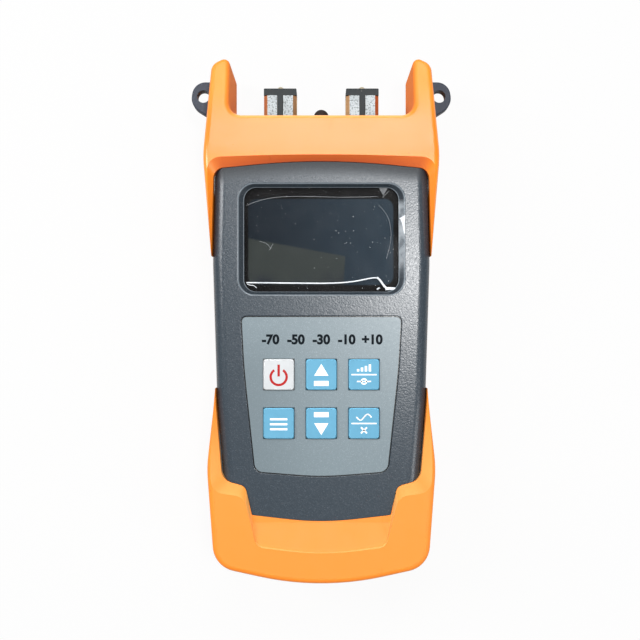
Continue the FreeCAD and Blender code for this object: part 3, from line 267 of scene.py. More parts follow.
studio = {
    "air": 0.27,
    "floorReach": 3.0,
    "floorShown": 0.93,
    "floorTone": 0.58,
}
lamps = {
    "overhead": {"place": (0.05, 0.80, 1.00), "size": 0.60, "watts": 6.0},
    "crown": {"place": (0.00, 0.27, 1.05), "size": 0.22, "watts": 1.3},
    "corner": {"place": (0.19, 0.09, 1.05), "size": 0.14, "watts": 4.4},
    "left": {"place": (-0.55, 0.22, 0.60), "size": 0.18, "tall": 0.50, "watts": 3.8},
    "right": {"place": (0.60, -0.25, 0.60), "size": 0.16, "tall": 0.40, "watts": 1.3},
}
for name, lamp in lamps.items():
    lampData = bpy.data.lights.new(name, "AREA")
    lampData.shape = "RECTANGLE"
    lampData.size = lamp["size"]
    lampData.size_y = lamp.get("tall", lamp["size"])
    lampData.energy = lamp["watts"]
    holder = bpy.data.objects.new(name, lampData)
    holder.location = lamp["place"]
    holder.rotation_euler = (-Vector(lamp["place"])).to_track_quat("-Z", "Y").to_euler()
    bpy.context.scene.collection.objects.link(holder)

world = bpy.data.worlds.new("studio")
world.use_nodes = True
bpy.context.scene.world = world
airTree = world.node_tree
airTree.nodes.clear()
airOut = airTree.nodes.new("ShaderNodeOutputWorld")
airMix = airTree.nodes.new("ShaderNodeMixShader")
airSoft = airTree.nodes.new("ShaderNodeBackground")
airWhite = airTree.nodes.new("ShaderNodeBackground")
airRay = airTree.nodes.new("ShaderNodeLightPath")
airShown = airTree.nodes.new("ShaderNodeMath")
airShown.operation = "MAXIMUM"
airSoft.inputs["Color"].default_value = (1, 1, 1, 1)
airSoft.inputs["Strength"].default_value = studio["air"]
airWhite.inputs["Color"].default_value = (1, 1, 1, 1)
airWhite.inputs["Strength"].default_value = 1.0
airTree.links.new(airRay.outputs["Is Camera Ray"], airShown.inputs[0])
airTree.links.new(airRay.outputs["Is Transmission Ray"], airShown.inputs[1])
airTree.links.new(airShown.outputs[0], airMix.inputs[0])
airTree.links.new(airSoft.outputs[0], airMix.inputs[1])
airTree.links.new(airWhite.outputs[0], airMix.inputs[2])
airTree.links.new(airMix.outputs[0], airOut.inputs["Surface"])

floorWork = bmesh.new()
bmesh.ops.create_grid(floorWork, x_segments=1, y_segments=1, size=studio["floorReach"])
floorMesh = bpy.data.meshes.new("floor")
floorWork.to_mesh(floorMesh)
floorWork.free()
floor = bpy.data.objects.new("floor", floorMesh)
floor.location.z = cadBox[0][2]
bpy.context.scene.collection.objects.link(floor)
floorMaterial = bpy.data.materials.new("paleFloor")
floorMaterial.use_nodes = True
floorTree = floorMaterial.node_tree
floorTree.nodes.clear()
floorOut = floorTree.nodes.new("ShaderNodeOutputMaterial")
floorMix = floorTree.nodes.new("ShaderNodeMixShader")
floorDull = floorTree.nodes.new("ShaderNodeBsdfDiffuse")
floorGlow = floorTree.nodes.new("ShaderNodeEmission")
floorRay = floorTree.nodes.new("ShaderNodeLightPath")
floorShare = floorTree.nodes.new("ShaderNodeMath")
floorShare.operation = "MULTIPLY"
floorShare.inputs[1].default_value = studio["floorShown"]
floorDull.inputs["Color"].default_value = (studio["floorTone"],) * 3 + (1,)
floorTree.links.new(floorRay.outputs["Is Camera Ray"], floorShare.inputs[0])
floorTree.links.new(floorShare.outputs[0], floorMix.inputs[0])
floorTree.links.new(floorDull.outputs[0], floorMix.inputs[1])
floorTree.links.new(floorGlow.outputs[0], floorMix.inputs[2])
floorTree.links.new(floorMix.outputs[0], floorOut.inputs["Surface"])
floorMesh.materials.append(floorMaterial)

print("stage 2: camera, lamps and floor")

# ---- finishes

boot = {
    "color": rgb(250, 138, 14),
    "faded": rgb(252, 144, 20),
    "foot": rgb(250, 133, 8),
    # painted shade for walls that face in, and for the horns' inner walls
    "deep": rgb(190, 72, 0),
    "ruddy": rgb(250, 122, 16),
    # painted highlight for the bar's top edge and for the walls low on the boot
    "highlightTone": rgb(255, 196, 112),
    "grime": rgb(120, 66, 30),
    "blotch": 0.045,
    "grain": 0.00045,
    "grainDepth": 0.00002,
    "roughness": 0.28,
    "specular": 0.85,
    # each pair is where a change begins and ends, along the meter unless named otherwise
    "lower": (-0.070, -0.030),
    "ledge": (-0.075, -0.065),
    "worn": (-0.030, 0.045),
    "collar": (-0.030, 0.020),
    "barBegins": (0.056, 0.066),
    "collarEnds": (0.066, 0.070),
    "barEnds": (0.073, 0.092),
    "horns": (0.076, 0.080),
    "hornsWorn": (0.074, 0.094),
    "crest": (0.0770, 0.0785),
    "crestEnds": (0.0793, 0.0800),
    "crestAcross": (0.030, 0.036),
    "lipHeight": (0.0400, 0.0430),
    "baseHeight": (0.0, 0.006),
    # how sharply the walls that face in are picked out, and the middle that the end walls face
    "wallTurn": -25,
    "endTurn": -14,
    "endMiddle": -0.010,
}


def bootLook():
    look = Look("orangeRubber", boot["color"], Specular_IOR_Level=boot["specular"])
    cloud = look.noise(boot["blotch"], 4.0)
    fine = look.noise(0.006, 3.0)
    grain = look.noise(boot["grain"], 2.0)
    marks = look.noise(0.0035, 6.0, (1.0, 0.25, 1.0)).above(0.66, 0.78)
    specks = look.specks(0.0042, (0.03, 0.075), (0.86, 0.9))
    tone = look.blend(cloud.above(0.35, 0.7), boot["color"], boot["faded"])
    tone = look.blend(fine.above(0.45, 0.75) * 0.18, tone, shade(boot["color"], 0.88))
    across, along, height = look.axis("X"), look.axis("Y"), look.axis("Z")
    level = look.facing("Z").above(0.6, 0.95)
    # the bar is a little redder and the foot a little deeper
    bar = along.above(*boot["barBegins"]) * (1 - along.above(*boot["barEnds"])) * level
    tone = look.blend(bar * 0.8, tone, boot["ruddy"])
    lower = 1 - along.above(*boot["lower"])
    tone = look.blend(lower * level * 0.9, tone, boot["foot"])
    # painted highlight on the bar's top edge
    crest = look.facing("Y").above(0.1, 0.4) * (1 - look.facing("Y").above(0.85, 0.98))
    crest = crest * along.above(*boot["crest"]) * (1 - along.above(*boot["crestEnds"]))
    crest = crest * (1 - abs(across).above(*boot["crestAcross"]))
    tone = look.blend(crest * 0.7, tone, boot["highlightTone"])
    # painted shade on the walls that face in toward the shell, with a painted highlight on them at the
    # foot
    turnedIn = look.facing("X") * across * boot["wallTurn"]
    sides = turnedIn.above(0.25, 0.8) * 0.2
    ends = (look.facing("Y") * (along - boot["endMiddle"]) * boot["endTurn"]).above(0.15, 0.6)
    collar = along.above(*boot["collar"]) * (1 - along.above(*boot["collarEnds"]))
    inward = sides.most(ends) * collar * (1 - height.above(*boot["lipHeight"]) * 0.25)
    # painted shade on the horns' inner walls too
    horns = turnedIn.above(0.3, 0.8) * along.above(*boot["horns"])
    tone = look.blend(inward.most(horns * 0.3), tone, boot["deep"])
    # painted highlight on the end walls and inward walls low on the boot
    ledge = ends * (0.8 - along.above(*boot["ledge"]) * 0.4)
    tone = look.blend(ledge.most(sides * 4.0) * lower, tone, boot["highlightTone"])
    # handling marks, and grime low on the walls
    low = (1 - height.above(*boot["baseHeight"])) * (1 - abs(look.facing("Z")).above(0.6, 0.95) * 0.8)
    tone = look.blend(low * fine.above(0.35, 0.7) * 0.3, tone, boot["grime"])
    tone = look.blend((specks * 0.55).most(marks * 0.1), tone, boot["grime"])
    worn = (1 - along.above(*boot["worn"])) * 0.34 + along.above(*boot["hornsWorn"]) * 0.2
    rough = boot["roughness"] + fine * 0.12 + marks * 0.12 - grain * 0.06
    look.feed(Base_Color=tone, Roughness=rough + worn + inward.most(horns) * 0.4)
    under = look.bump(fine, 0.00012, 0.35)
    look.feed(Normal=look.bump(grain, boot["grainDepth"], 0.5, under))
    return look


shell = {
    "color": rgb(50, 59, 67),
    "flake": rgb(130, 140, 150),
    "flakeSize": 0.00018,
    "grain": 0.0006,
    "roughness": 0.16,
    "specular": 0.5,
}


def flakedLook(name, settings, share, grainDepth, edges=None):
    # a plastic sprayed with fine bright flakes under a satin skin
    look = Look(name, settings["color"], Specular_IOR_Level=settings["specular"])
    picked = look.cells(settings["flakeSize"])
    flakes = picked.above(1 - share, 1.0)
    cloud = look.noise(0.03, 3.0)
    fine = look.noise(0.0012, 3.0)
    grain = look.noise(settings["grain"], 2.0)
    rub = look.noise(0.0025, 5.0, (0.3, 1.0, 1.0)).above(0.68, 0.8)
    tone = look.blend(cloud * 0.3, settings["color"], shade(settings["color"], 1.2))
    tone = look.blend(fine.above(0.4, 0.8) * 0.25, tone, shade(settings["color"], 0.75))
    tone = look.blend(flakes * 0.3, tone, settings["flake"])
    tone = look.blend(grain.above(0.3, 0.7) * 0.22, tone, shade(settings["color"], 1.45))
    rough = settings["roughness"] + fine * 0.1 + rub * 0.08 + grain * 0.08
    if edges:
        tone, dull = edges(look, tone)
        rough = rough + dull
    look.feed(Base_Color=tone, Roughness=rough)
    under = look.bump(grain, grainDepth, 0.7)
    look.feed(Normal=look.bump(fine, 0.00003, 0.35, under))
    return look


panel = {
    "color": rgb(112, 125, 131),
    "flake": rgb(178, 190, 196),
    "flakeSize": 0.00020,
    "grain": 0.00032,
    "roughness": 0.22,
    "specular": 0.42,
    # painted shade toward the lower left
    "dull": rgb(84, 97, 103),
    # painted highlight for the rounded rim
    "rim": rgb(226, 234, 238),
    "shadeAcross": (-0.030, 0.006),
    "shadeAlong": (-0.022, 0.004),
}

lug = {
    "color": rgb(48, 55, 68),
    "flake": rgb(90, 98, 112),
    "flakeSize": 0.0004,
    "grain": 0.0006,
    "roughness": 0.5,
    "specular": 0.4,
}


def plasticLook(name, color, roughness=0.45, grain=0.0006, depth=0.00002, dust=0.0, **constants):
    # moulded plastic or rubber: slow changes of tone, a fine skin, a little lint
    look = Look(name, color, **constants)
    cloud = look.noise(0.012, 3.0)
    fine = look.noise(grain, 2.0)
    scuff = look.noise(0.002, 5.0, (0.2, 1.0, 0.6)).above(0.64, 0.8)
    tone = look.blend(cloud.above(0.3, 0.8) * 0.5, color, shade(color, 0.82))
    tone = look.blend(scuff * 0.25, tone, shade(color, 1.5))
    if dust:
        lint = look.specks(0.0016, (0.05, 0.12), (0.8, 0.9))
        tone = look.blend(lint * dust, tone, rgb(190, 188, 182))
    look.feed(Base_Color=tone, Roughness=roughness + fine * 0.14 + scuff * 0.12)
    look.feed(Normal=look.bump(fine, depth, 0.7))
    return look


adapter = {
    "color": rgb(152, 157, 159),
    # painted reflections for the plates' flanks: orange on the outward flanks, beige on the inward
    # ones
    "inner": rgb(214, 150, 92),
    "outer": rgb(214, 196, 142),
    "flankTurn": -50,
}


def metalLook(name, color, roughness=0.25, along="Y", tarnish=0.35, mottle=0.0, flankReflection=None):
    # drawn or plated metal: fine lines along one way, duller patches, pits, and flanks tinted by
    # painted reflections
    look = Look(name, color, Metallic=1.0)
    ways = {"Y": (1, 0.04, 1), "Z": (1, 1, 0.04)}
    lines = look.noise(0.00035, 3.0, ways[along])
    cloud = look.noise(0.004, 4.0)
    pits = look.cells(0.0005).above(0.93, 1.0)
    tone = look.blend(cloud.above(0.4, 0.75) * tarnish, color, shade(color, 0.55))
    tone = look.blend(pits * 0.3, tone, shade(color, 0.35))
    if mottle:
        spots = look.noise(0.0007, 4.0).above(0.53, 0.60)
        tone = look.blend(spots * mottle, tone, shade(color, 0.3))
    if flankReflection:
        # painted reflections on the flanks
        inner = (look.facing("X") * look.axis("X") * adapter["flankTurn"]).above(0.2, 0.6)
        sides = look.blend(inner, flankReflection, adapter["outer"])
        tone = look.blend(abs(look.facing("X")).above(0.5, 0.8), tone, sides)
    look.feed(Base_Color=tone, Roughness=roughness + lines * 0.15 + cloud * 0.12)
    look.feed(Normal=look.bump(lines, 0.00001, 0.6, look.bump(cloud, 0.00003, 0.3)))
    return look


keyCap = {
    "wallHeight": (0.0407, 0.0416),
    "specular": 0.35,
    "roughness": 0.46,
}


def keyLook(name, color, wallHighlight):
    # soft key rubber with painted highlights on its walls and upper side, and a little lint
    look = Look(name, color, Specular_IOR_Level=keyCap["specular"])
    cloud = look.noise(0.004, 3.0)
    fine = look.noise(0.0005, 2.0)
    side = 1 - look.axis("Z").above(*keyCap["wallHeight"])
    tone = look.blend(cloud.above(0.35, 0.75) * 0.5, color, shade(color, 0.88))
    # painted light on the key's walls
    tone = look.blend(side * 0.6, tone, wallHighlight)
    # painted highlight on faces that turn toward +Y
    upper = look.facing("Y").above(0.15, 0.5) * look.facing("Z").above(0.1, 0.3)
    tone = look.blend(upper * 0.7, tone, shade(color, 1.7))
    lint = look.specks(0.0013, (0.04, 0.11), (0.88, 0.95))
    tone = look.blend(lint * 0.35, tone, shade(color, 0.5))
    look.feed(Base_Color=tone, Roughness=keyCap["roughness"] + fine * 0.14 + cloud * 0.08)
    look.feed(Normal=look.bump(fine, 0.00002, 0.6, look.bump(cloud, 0.00008, 0.4)))
    return look


def lensLook():
    # the clear cover over the display, with a few hairlines and finger smears
    look = Look("clearLens", rgb(60, 64, 68), Specular_IOR_Level=0.15)
    smear = look.noise(0.02, 5.0, (1.0, 0.4, 1.0)).above(0.45, 0.8)
    hairs = look.noise(0.0015, 4.0, (0.05, 1.0, 1.0)).above(0.7, 0.78)
    look.feed(Alpha=0.012 + smear * 0.012 + hairs * 0.03, Roughness=0.05 + smear * 0.06 + hairs * 0.1)
    look.feed(Base_Color=look.blend(smear * 0.3, rgb(50, 54, 58), rgb(90, 96, 100)))
    return look


trapped = {
    "dustSize": 0.0026,
    "dustReach": (0.035, 0.08),
    "dustShare": (0.90, 0.93),
    "dustAcross": (-0.03, 0.02),
    "fleckSize": 0.0009,
    "fleckReach": (0.09, 0.18),
    "fleckShare": (0.95, 0.98),
}


def filmLook(name, milkAndHighlight, dusty=1.0):
    # clinging film: nearly invisible where it lies flat, milky where it is creased, with trapped dust;
    # the milk on the creases also paints their highlights
    look = Look(name, rgb(232, 236, 240), Specular_IOR_Level=0.2)
    haze = look.noise(0.008, 4.0)
    specks = look.specks(trapped["dustSize"], trapped["dustReach"], trapped["dustShare"])
    specks = specks * look.axis("X").above(*trapped["dustAcross"])
    flecks = look.specks(trapped["fleckSize"], trapped["fleckReach"], trapped["fleckShare"])
    # milk is the film's whiteness and, on creases, a painted highlight
    cover = milkAndHighlight + haze.above(0.35, 0.8) * (0.004 + milkAndHighlight * 0.3)
    cover = cover.most(specks * 0.8 * dusty).most(flecks * 0.35 * dusty)
    look.feed(Alpha=cover.least(1.0), Roughness=0.25 + haze * 0.15)
    look.feed(Base_Color=look.blend(haze, rgb(214, 222, 230), rgb(244, 246, 248)))
    return look


sheen = {
    "begins": (0.0145, 0.026),
    "ends": (0.0435, 0.047),
}


def edgeLook():
    # painted sheen, pale, that fades out toward both ends of the strip
    look = Look("filmEdgeSheen", rgb(206, 216, 222), Specular_IOR_Level=0.2, Roughness=0.4)
    along = look.axis("Y")
    patchy = look.noise(0.004, 3.0).above(0.2, 0.7)
    span = along.above(*sheen["begins"]) * (1 - along.above(*sheen["ends"]))
    look.feed(Alpha=span * (0.25 + patchy * 0.3))
    look.feed(Base_Color=look.blend(patchy, rgb(176, 186, 194), rgb(214, 222, 228)))
    return look


display = {
    "color": rgb(20, 24, 29),
    "frame": rgb(17, 16, 16),
    # the left and right tones paint a reflection that grows toward the right
    "leftTone": rgb(24, 31, 38),
    "rightReflectionTone": rgb(42, 54, 64),
    "streak": rgb(26, 31, 37),
    "patch": rgb(54, 58, 55),
    "mist": rgb(34, 36, 46),
    # the lit area: its middle, half its size less the corners, and the corners' rounding
    "middle": (-0.0002, 0.0304),
    "half": (0.0246, 0.0132),
    "corner": (0.0030, 0.0038),
    "sideways": (-0.030, 0.030),
    # the patch: its right side leans and its top slopes
    "patchRight": (0.0088, 0.0097),
    "patchPivot": 0.025,
    "patchLean": 0.06,
    "patchTop": (0.0260, 0.0272),
    "patchSlope": 0.184,
    "mistTop": (0.0150, 0.0215),
}


def screenLook():
    # unlit display: bluish black inside a darker frame, with a pale reflected patch low on the left
    # and a painted reflection that lightens it toward the right
    look = Look("darkDisplay", display["color"], Specular_IOR_Level=0.02)
    across, along = look.axis("X"), look.axis("Y")
    outX = (abs(across - display["middle"][0]) - display["half"][0]).most(0)
    outY = (abs(along - display["middle"][1]) - display["half"][1]).most(0)
    inside = 1 - ((outX * outX + outY * outY) ** 0.5).above(*display["corner"])
    smudge = look.noise(0.010, 3.0).above(0.42, 0.72)
    streaks = look.noise(0.0016, 3.0, (1.0, 0.15, 1.0))
    leaning = across + (display["patchPivot"] - along) * display["patchLean"]
    sloping = along + across * display["patchSlope"]
    patch = (1 - leaning.above(*display["patchRight"])) * (1 - sloping.above(*display["patchTop"]))
    mist = (1 - along.above(*display["mistTop"])) * smudge
    # painted reflection, lighter toward the right
    tone = look.blend(across.above(*display["sideways"]), display["leftTone"], display["rightReflectionTone"])
    tone = look.blend(streaks * 0.35, tone, display["streak"])
    tone = look.blend(patch * 0.8, tone, display["patch"])
    tone = look.blend(mist * patch * 0.6, tone, display["mist"])
    tone = look.blend(inside, display["frame"], tone)
    look.feed(Base_Color=tone, Roughness=0.3 + smudge * 0.15)
    look.feed(Normal=look.bump(smudge, 0.00001, 0.3))
    return look


def printLook(name, color, shine=0.4):
    # ink that is slightly worn and pitted
    look = Look(name, color, Specular_IOR_Level=shine)
    fine = look.noise(0.0004, 3.0)
    cloud = look.noise(0.002, 2.0)
    look.feed(Base_Color=look.blend(fine.above(0.5, 0.8) * 0.3, color, shade(color, 0.8)))
    look.feed(Roughness=0.42 + cloud * 0.2, Normal=look.bump(fine, 0.00001, 0.5))
    return look


def boardLook():
    # green board with masked tracks and a scatter of pale pads
    look = Look("boardGreen", rgb(22, 92, 52), Specular_IOR_Level=0.5)
    tracks = look.noise(0.0018, 1.0, (1.0, 0.12, 1.0)).above(0.52, 0.56)
    cross = look.noise(0.0016, 1.0, (0.12, 1.0, 1.0)).above(0.56, 0.6)
    pads = look.specks(0.0032, (0.22, 0.26), (0.9, 0.92))
    tone = look.blend(tracks.most(cross) * 0.5, rgb(18, 84, 46), rgb(48, 126, 72))
    tone = look.blend(pads, tone, rgb(206, 200, 178))
    look.feed(Base_Color=tone, Roughness=0.34 + tracks * 0.1, Metallic=pads * 0.8)
    look.feed(Normal=look.bump(tracks.most(cross).most(pads), 0.00003, 0.8))
    return look


cell = {
    "upperEnd": (-0.0134, -0.0132),
    "lowerEnd": (-0.0622, -0.0620),
    "band": (-0.0262, -0.0260),
}


def cellLook():
    # shrink-wrapped cell: a dark body with a band near one end, bare metal at its ends
    look = Look("cellWrap", rgb(34, 60, 74), Specular_IOR_Level=0.5, Coat_Weight=0.2)
    along = look.axis("Y")
    cloud = look.noise(0.006, 3.0)
    creases = look.noise(0.0015, 2.0, (1.0, 0.1, 1.0)).above(0.6, 0.75)
    metal = along.above(*cell["upperEnd"]).most(1 - along.above(*cell["lowerEnd"]))
    band = along.above(*cell["band"]) * (1 - metal)
    tone = look.blend(band, rgb(30, 58, 76), rgb(176, 182, 186))
    tone = look.blend(cloud.above(0.4, 0.8) * 0.3, tone, rgb(18, 34, 44))
    tone = look.blend(metal, tone, rgb(186, 186, 182))
    look.feed(Base_Color=tone, Metallic=metal, Roughness=0.28 + cloud * 0.12)
    look.feed(Normal=look.bump(creases, 0.00004, 0.4))
    return look


faceMarks = {
    "shadowTone": rgb(26, 28, 30),
    "grooveShadeTone": rgb(14, 16, 18),
    "keyGapLightTone": rgb(120, 132, 138),
    "slopeShadeTone": rgb(26, 30, 34),
    "rimHighlightTone": rgb(138, 148, 156),
    "front": (0.0370, 0.0375),
    # the lip is an arch: it comes lower toward both sides
    "lip": (0.0535, 0.0605),
    "lipArch": 1.67,
    "halfWide": (0.0325, 0.0330),
    "panelMiddle": -0.0285,
    "panelHalf": (0.0318, 0.0323),
    "keysWide": (0.0240, 0.0250),
    "keysHalf": (0.0230, 0.0240),
    "grooveTop": (0.0402, 0.0404),
    "windowMiddle": 0.0311,
    "windowHalf": (0.0220, 0.0225),
    "slope": (0.90, 0.985),
    "lowRim": (0.0387, 0.0389),
    "highRim": (0.0400, 0.0403),
}


def shellEdges(look, tone):
    # painted shadow by the boot's lip, painted shade in the groove round the panel, painted light in
    # the gaps round the keys, painted shade on the window's slopes and a painted highlight on its rims
    across, along, height = look.axis("X"), look.axis("Y"), look.axis("Z")
    front = height.above(*faceMarks["front"])
    # painted shadow under the boot's lip
    shadow = (along + across * across * faceMarks["lipArch"]).above(*faceMarks["lip"]) * front
    tone = look.blend(shadow * 0.7, tone, faceMarks["shadowTone"])
    # painted shade on the groove walls round the panel, and painted light on them round the keys
    groove = look.block(faceMarks["panelMiddle"], faceMarks["halfWide"], faceMarks["panelHalf"])
    groove = groove * front * (1 - height.above(*faceMarks["grooveTop"]))
    keys = look.block(faceMarks["panelMiddle"], faceMarks["keysWide"], faceMarks["keysHalf"])
    gapShading = look.blend(keys, faceMarks["grooveShadeTone"], faceMarks["keyGapLightTone"])
    tone = look.blend(groove * 0.9, tone, gapShading)
    window = look.block(faceMarks["windowMiddle"], faceMarks["halfWide"], faceMarks["windowHalf"])
    slope = 1 - look.facing("Z").above(*faceMarks["slope"])
    rims = (1 - height.above(*faceMarks["lowRim"])).most(height.above(*faceMarks["highRim"]))
    # painted shade on the window frame's slopes, and a painted highlight on their rims
    tone = look.blend(window * slope * (1 - rims) * 0.35, tone, faceMarks["slopeShadeTone"])
    tone = look.blend(window * slope * rims * front * 0.7, tone, faceMarks["rimHighlightTone"])
    return tone, shadow * 0.34


def panelEdges(look, tone):
    # painted shade toward the lower left, a painted highlight on its rounded rim
    tilt = look.facing("Z")
    # painted shade toward the lower left
    dull = 1 - look.axis("X").above(*panel["shadeAcross"])
    dull = dull * (1 - look.axis("Y").above(*panel["shadeAlong"]))
    tone = look.blend(dull * 0.4, tone, panel["dull"])
    # painted highlight on the rounded rim
    rim = tilt.above(0.15, 0.5) * (1 - tilt.above(0.93, 0.99))
    return look.blend(rim * 0.8, tone, panel["rim"]), dull * 0.04


looks = {
    "rubber": bootLook(),
    "shell": flakedLook("greyShell", shell, 0.10, 0.00006, shellEdges),
    "panel": flakedLook("silverPanel", panel, 0.14, 0.00002, panelEdges),
    "lug": flakedLook("lugPlastic", lug, 0.05, 0.00004),
    "lens": lensLook(),
    "film": filmLook("protectiveFilm", 0.002),
    "filmRim": filmLook("filmRim", 0.16, 0.3),
    "filmFoldHighlight": filmLook("filmFoldHighlight", 0.88, 0.0),
    "filmEdgeSheen": edgeLook(),
    "filmLineHighlight": filmLook("filmLineHighlight", 0.16, 0.0),
    "lint": printLook("filmLint", rgb(232, 240, 244)),
    "screen": screenLook(),
    "keyWhite": keyLook("keyWhite", rgb(194, 197, 199), rgb(214, 216, 217)),
    "keyBlue": keyLook("keyBlue", rgb(92, 156, 186), rgb(128, 186, 210)),
    "silicone": plasticLook("greySilicone", rgb(122, 126, 128), 0.6),
    "carbon": plasticLook("carbonPill", rgb(16, 16, 17), 0.8),
    "board": boardLook(),
    "steel": metalLook("screwSteel", rgb(176, 178, 180), 0.25, "Z"),
    "socket": plasticLook("socketBlack", rgb(24, 24, 26), 0.4),
    "nickel": metalLook("plateNickel", adapter["color"], 0.4, "Y", 0.3, 0.8, adapter["inner"]),
    "ceramic": plasticLook("whiteCeramic", rgb(238, 236, 228), 0.15, Coat_Weight=0.4),
    "detector": metalLook("detectorCan", rgb(196, 192, 180), 0.3, "Y"),
    "cap": plasticLook("capRubber", rgb(27, 34, 37), 0.6, 0.0005, 0.00003, 0.35),
    "brass": metalLook("turnedBrass", rgb(226, 214, 186), 0.3, "Z", 0.25),
    "bung": plasticLook("bungRubber", rgb(30, 14, 8), 0.7, 0.0005, 0.00003, 0.2),
    "cell": cellLook(),
}

finishOf = {
    "protective_boot": "rubber",
    "front_shell": "shell",
    "rear_shell": "shell",
    "battery_cover": "shell",
    "strap_lug_left": "lug",
    "strap_lug_right": "lug",
    "display_window": "lens",
    "screen_film": "film",
    "screen_module": "screen",
    "keypad_panel": "panel",
    "key_power": "keyWhite",
    "key_up": "keyBlue",
    "key_units": "keyBlue",
    "key_mode": "keyBlue",
    "key_down": "keyBlue",
    "key_wavelength": "keyBlue",
    "keypad_membrane": "silicone",
    "contact_pills": "carbon",
    "main_board": "board",
    "board_screws": "steel",
    "case_screws": "steel",
    "port_screws": "steel",
    "port_adapter_left": "nickel",
    "port_adapter_right": "nickel",
    "port_sleeve_left": "ceramic",
    "port_sleeve_right": "ceramic",
    "detector_left": "detector",
    "detector_right": "detector",
    "dust_cap_left": "cap",
    "dust_cap_right": "cap",
    "cap_rivet_left": "brass",
    "cap_rivet_right": "brass",
    "port_plate": "steel",
    "charge_socket": "socket",
    "charge_bung": "bung",
    "battery_cell_left": "cell",
    "battery_cell_middle": "cell",
    "battery_cell_right": "cell",
    "lower_contacts": "steel",
    "upper_contacts": "steel",
}
for name, finish in finishOf.items():
    dress(name, looks[finish])
print("stage 3: finishes on", len(finishOf), "CAD nodes")

# ---- the loose protective film over the display

film = {
    "corner": 4.6 * mm,
    "rim": 0.30 * mm,
    "curl": 0.20 * mm,
    "wave": 0.05 * mm,
    "hill": (5.1 * mm, 6.3 * mm),
    "ripple": 2.7 * mm,
    "step": 1.6 * mm,
    "foldFlat": 0.6,
}
# each fold: its half thickness in mm, and the line it follows in mm from the middle of the film
folds = {
    "low": {"radius": 0.26, "look": "filmFoldHighlight",
            "line": ((-28.8, -16.5), (-20, -16.6), (-8, -16.7), (4.6, -16.8), (13, -16.1),
                     (19.6, -14.6), (22.2, -14.7), (23.4, -17.0), (24.8, -19.0), (28.9, -18.7))},
    "fall": {"radius": 0.42, "look": "filmFoldHighlight",
             "line": ((21.4, -14.5), (22.6, -15.4), (24.0, -17.8), (25.6, -19.0))},
    "blob": {"radius": 0.62, "look": "filmFoldHighlight",
             "line": ((24.6, -18.9), (26.2, -18.7), (28.4, -18.9))},
    "chip": {"radius": 0.30, "look": "filmFoldHighlight",
             "line": ((21.4, -19.1), (21.9, -18.7), (22.4, -18.5))},
    "high": {"radius": 0.09, "look": "filmLineHighlight",
             "line": ((-28.7, 13.2), (-25, 14.8), (-19, 16.2), (-12, 16.7), (-2, 16.6),
                      (10, 16.2), (21.5, 16.6))},
    "side": {"radius": 0.07, "look": "filmLineHighlight",
             "line": ((22.0, 13.4), (25.2, 10.2), (26.8, 5.0), (26.8, -1.5), (25.0, -7.4))},
    "corner": {"radius": 0.08, "look": "filmLineHighlight",
               "line": ((23.4, 16.2), (24.8, 17.4), (26.0, 18.8))},
    "loop": {"radius": 0.13, "look": "filmFoldHighlight",
             "line": ((-28.6, -17.0), (-27.2, -17.6), (-25.8, -17.5), (-24.8, -18.6))},
    "scuff": {"radius": 0.08, "look": "filmLineHighlight",
              "line": ((-23.8, -0.6), (-21.9, -1.1), (-20.4, -1.9), (-19.6, -3.2))},
    "nick": {"radius": 0.09, "look": "filmLineHighlight",
             "line": ((-18.6, -1.6), (-19.2, -2.8), (-20.0, -4.0))},
}
filmLow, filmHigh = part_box("screen_film")
filmMiddle = (filmLow + filmHigh) / 2
filmReach = (filmHigh - filmLow) / 2


def waveHeight(x, y):
    # slow hills a few hundredths high
    slow = math.sin(x / film["hill"][0] + 0.8) * math.cos(y / film["hill"][1] - 0.4)
    return film["wave"] * (slow + 0.4 * math.sin((x + y) / film["ripple"]))


def overFilm(x, y, rise):
    # a place over the middle of the film's upper face
    return Vector((filmMiddle.x + x, filmMiddle.y + y, filmHigh.z + rise))


def makeFilm():
    # a sheet with round corners, a turned-up rim and slow hills
    work = bmesh.new()
    bmesh.ops.create_grid(work, x_segments=1, y_segments=1, size=1.0)
    bmesh.ops.scale(work, vec=(filmReach.x, filmReach.y, 1), verts=work.verts)
    bmesh.ops.bevel(work, geom=work.verts[:], offset=film["corner"], offset_type="OFFSET",
                    segments=7, profile=0.5, affect="VERTICES", material=-1)
    bmesh.ops.inset_region(work, faces=work.faces[:], thickness=film["rim"], use_even_offset=True)
    for axis in (0, 1):
        normal = Vector((1 - axis, axis, 0))
        cuts = int(2 * filmReach[axis] / film["step"])
        for cut in range(1, cuts):
            at = normal * (cut / cuts * 2 - 1) * filmReach[axis]
            everything = work.verts[:] + work.edges[:] + work.faces[:]
            bmesh.ops.bisect_plane(work, geom=everything, plane_co=at, plane_no=normal)
    outer = {vert for vert in work.verts if vert.is_boundary}
    for vert in work.verts:
        vert.co.z = film["curl"] if vert in outer else waveHeight(vert.co.x, vert.co.y)
    bmesh.ops.translate(work, vec=overFilm(0, 0, film["wave"]), verts=work.verts)
    return meshObject("loose_film", work, looks["film"].material, "case")


